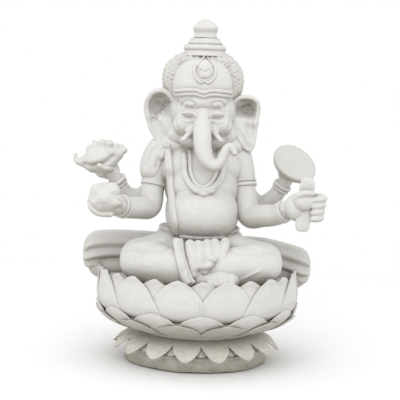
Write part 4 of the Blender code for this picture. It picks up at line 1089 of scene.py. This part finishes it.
COLLAR = [(-31, 372), (-29, 356), (-28, 342), (-24, 330), (-17, 319), (-7, 311), (5, 309),
          (17, 313), (27, 321), (34, 332), (38, 344), (39, 358), (40, 372)]
spots, outs = landed(body_tree, COLLAR)
upper = [(x * 0.72 + 1, z + 7) for x, z in COLLAR]
spots_in, outs_in = landed(body_tree, upper)
carve("collar_stone", [strip(spots, outs, [4.5, 5.5, 6.5, 5.5, 4.5], 5),
                       strip(spots_in, outs_in, [3, 3.5, 4, 3.5, 3], 3.4)], ["necklace"], STONE)
pendant_spot = landed(body_tree, [(5.5, 305), (17, 309), (27, 314), (-6, 309)])[0] / MM
carve("pendant_stone", [
    ball(pendant_spot[0] + (0, -2, 0), (9.5, 6.5, 11), power=1.5),
    ball(pendant_spot[0] + (0, -6, 0), (4.5, 4, 5.5)),
    ball(pendant_spot[1] + (0, -3, 0), (9, 5, 5.4), (0, -24, 0)),
    ball(pendant_spot[3] + (0, -3, 0), (8, 5, 5.4), (0, 24, 0))],
    ["pendant"], STONE, voxel=0.9, passes=2, wear=0.12)

# %% Cloth over the right shoulder
carve("shawl_stone", [
    limb([(-58, 2, 382, 25), (-73, 0, 370, 28), (-83, -3, 352, 25.5), (-86, -5, 338, 23.5)],
         count=50, sides=48,
         ripple=lambda share, turn: 1 + 0.03 * np.cos(6 * turn + 2 * share) * share),
    limb([(-48, -10, 391, 14), (-62, -18, 384, 14), (-70, -24, 366, 10)]),
    ball((-80, -8, 388), (10, 10, 7))],
    ["shoulder_shawl"], STONE, voxel=1.5, passes=4,
    relief=lambda p, lay: -ridge(p, lay([(-60, 388), (-74, 372), (-80, 345)]), 2.6, 2.2)
    - ridge(p, lay([(-70, 390), (-90, 372), (-98, 348)]), 2.6, 2.2)
    - ridge(p, lay([(-66, 380), (-66, 360), (-70, 340)]), 2.2, 1.8))

# %% Brow roll and leaf plaque
crown_tree = skin_tree(bpy.data.objects["cap_stone"], bpy.data.objects["halo_stone"], head)
BROW = [(x, 485 - 4.5 * math.exp(-(x / 9) ** 2) - 0.0016 * x * x) for x in range(-48, 49, 6)]
spots, outs = landed(crown_tree, BROW)
spots_low, outs_low = landed(crown_tree, [(x, z - 6.5) for x, z in BROW])
carve("brow_roll_stone", [strip(spots, outs, [3.6] * 3, 3.6), strip(spots_low, outs_low, [3.2] * 3, 3.2),
                          ball((0, -73, 482), (5, 4, 5), power=1.6)], ["brow_band"], STONE, wear=0.2)

LEAF = np.array([(1, 501), (6, 497), (13, 501), (18.5, 510), (19, 520), (14.5, 529), (8, 536),
                 (3.5, 543), (1.5, 548), (-0.5, 543), (-5, 536), (-12, 529), (-16.5, 520),
                 (-16, 510), (-11, 501), (-4, 497)], float)
centre_leaf = LEAF.mean(axis=0)
rim_line = smooth_curve(np.vstack([LEAF, LEAF[:1]]), 97)[:-1]
rim_spots, rim_outs = landed(crown_tree, rim_line)
inner_line = centre_leaf + (rim_line - centre_leaf) * 0.6
inner_spots, inner_outs = landed(crown_tree, inner_line)
leaf_y = inner_spots[:, 1].mean() / MM
carve("leaf_plaque_stone", [
    hoop(rim_spots + rim_outs * 1.2 * MM, 2.6 * MM),
    hoop(inner_spots + inner_outs * 1.2 * MM, 1.6 * MM),
    ball((1, leaf_y + 3, centre_leaf[1]), (13, 7, 17)),
    ball((1.5, leaf_y - 1, centre_leaf[1] - 1), (4.5, 4, 6))],
    ["crown_crest"], STONE, voxel=0.9, passes=2, wear=0.15)
print(len(PIECES), "pieces")


# %% [markdown]
# ## Floor, light and camera
# A studio for pale stone: a light floor and a wide soft lamp above and in
# front, so tops are bright and undersides fall off gently. The camera is far
# away with a long lens, a little above the middle, looking slightly down.

# %% Studio
LAMP_SPOT = mathutils.Vector((-0.25, -1.45, 1.85))
LAMP_AIM = mathutils.Vector((0, 0, 0.3))
LAMP_WIDTH = 1.5
LAMP_WATTS = 12
FLOOR_HALF = 1.1
floor_mesh = bpy.data.meshes.new("floor")
floor_mesh.from_pydata([(x * FLOOR_HALF, y * FLOOR_HALF, cad_box[0][2] - 0.0005)
                        for x, y in ((-1, -1), (1, -1), (1, 1), (-1, 1))], [], [(0, 1, 2, 3)])
floor = bpy.data.objects.new("floor", floor_mesh)
bpy.context.collection.objects.link(floor)
paper, paper_tree, paper_shader = blank("Matt white paper")
fibres = add(paper_tree, "ShaderNodeTexNoise", {"Scale": 40.0, "Detail": 3.0})
paper_tone = add(paper_tree, "ShaderNodeMix", {FACTOR: fibres.outputs["Fac"],
                                               FIRST: linear("#FAFAFA"), SECOND: linear("#F7F7F7")},
                 data_type="RGBA")
paper_tree.links.new(paper_tone.outputs[RESULT], paper_shader.inputs["Base Color"])
paper_shader.inputs["Roughness"].default_value = 0.9
paper_shader.inputs["Specular IOR Level"].default_value = 0.1
floor_mesh.materials.append(paper)

world = bpy.data.worlds.new("studio")
world.use_nodes = True
world.node_tree.nodes["Background"].inputs["Color"].default_value = (1.0, 1.0, 1.0, 1.0)
world.node_tree.nodes["Background"].inputs["Strength"].default_value = 1.0
bpy.context.scene.world = world
bpy.context.scene.view_settings.view_transform = "Standard"
lamp = bpy.data.lights.new("front softbox", "AREA")
lamp.size, lamp.energy = LAMP_WIDTH, LAMP_WATTS
softbox = bpy.data.objects.new("front softbox", lamp)
softbox.location = LAMP_SPOT
softbox.rotation_euler = (LAMP_AIM - LAMP_SPOT).to_track_quat("-Z", "Y").to_euler()
bpy.context.collection.objects.link(softbox)

# %% Camera
LOOK_DOWN = math.radians(5.0)
DISTANCE = 2.2
LEAN = math.radians(1.864)
REACH = 3.06035                 # focal length as a share of the sensor's width
SHIFT = (-0.00108, -0.0249)     # sideways and upward, as shares of the frame
height = cad_box[1][2]
eye = mathutils.Vector((0, -DISTANCE * math.cos(LOOK_DOWN),
                        0.5 * height + DISTANCE * math.sin(LOOK_DOWN)))
lens = bpy.data.cameras.new("camera")
lens.sensor_width = 36.0
lens.lens = REACH * lens.sensor_width
lens.shift_x, lens.shift_y = SHIFT
camera = bpy.data.objects.new("camera", lens)
turned = mathutils.Euler((math.pi / 2 - LOOK_DOWN, 0, 0)).to_matrix()
camera.matrix_world = mathutils.Matrix.Translation(eye) @ (
    turned @ mathutils.Matrix.Rotation(LEAN, 3, "Z")).to_4x4()
bpy.context.collection.objects.link(camera)
bpy.context.scene.camera = camera
print("camera at", tuple(eye))
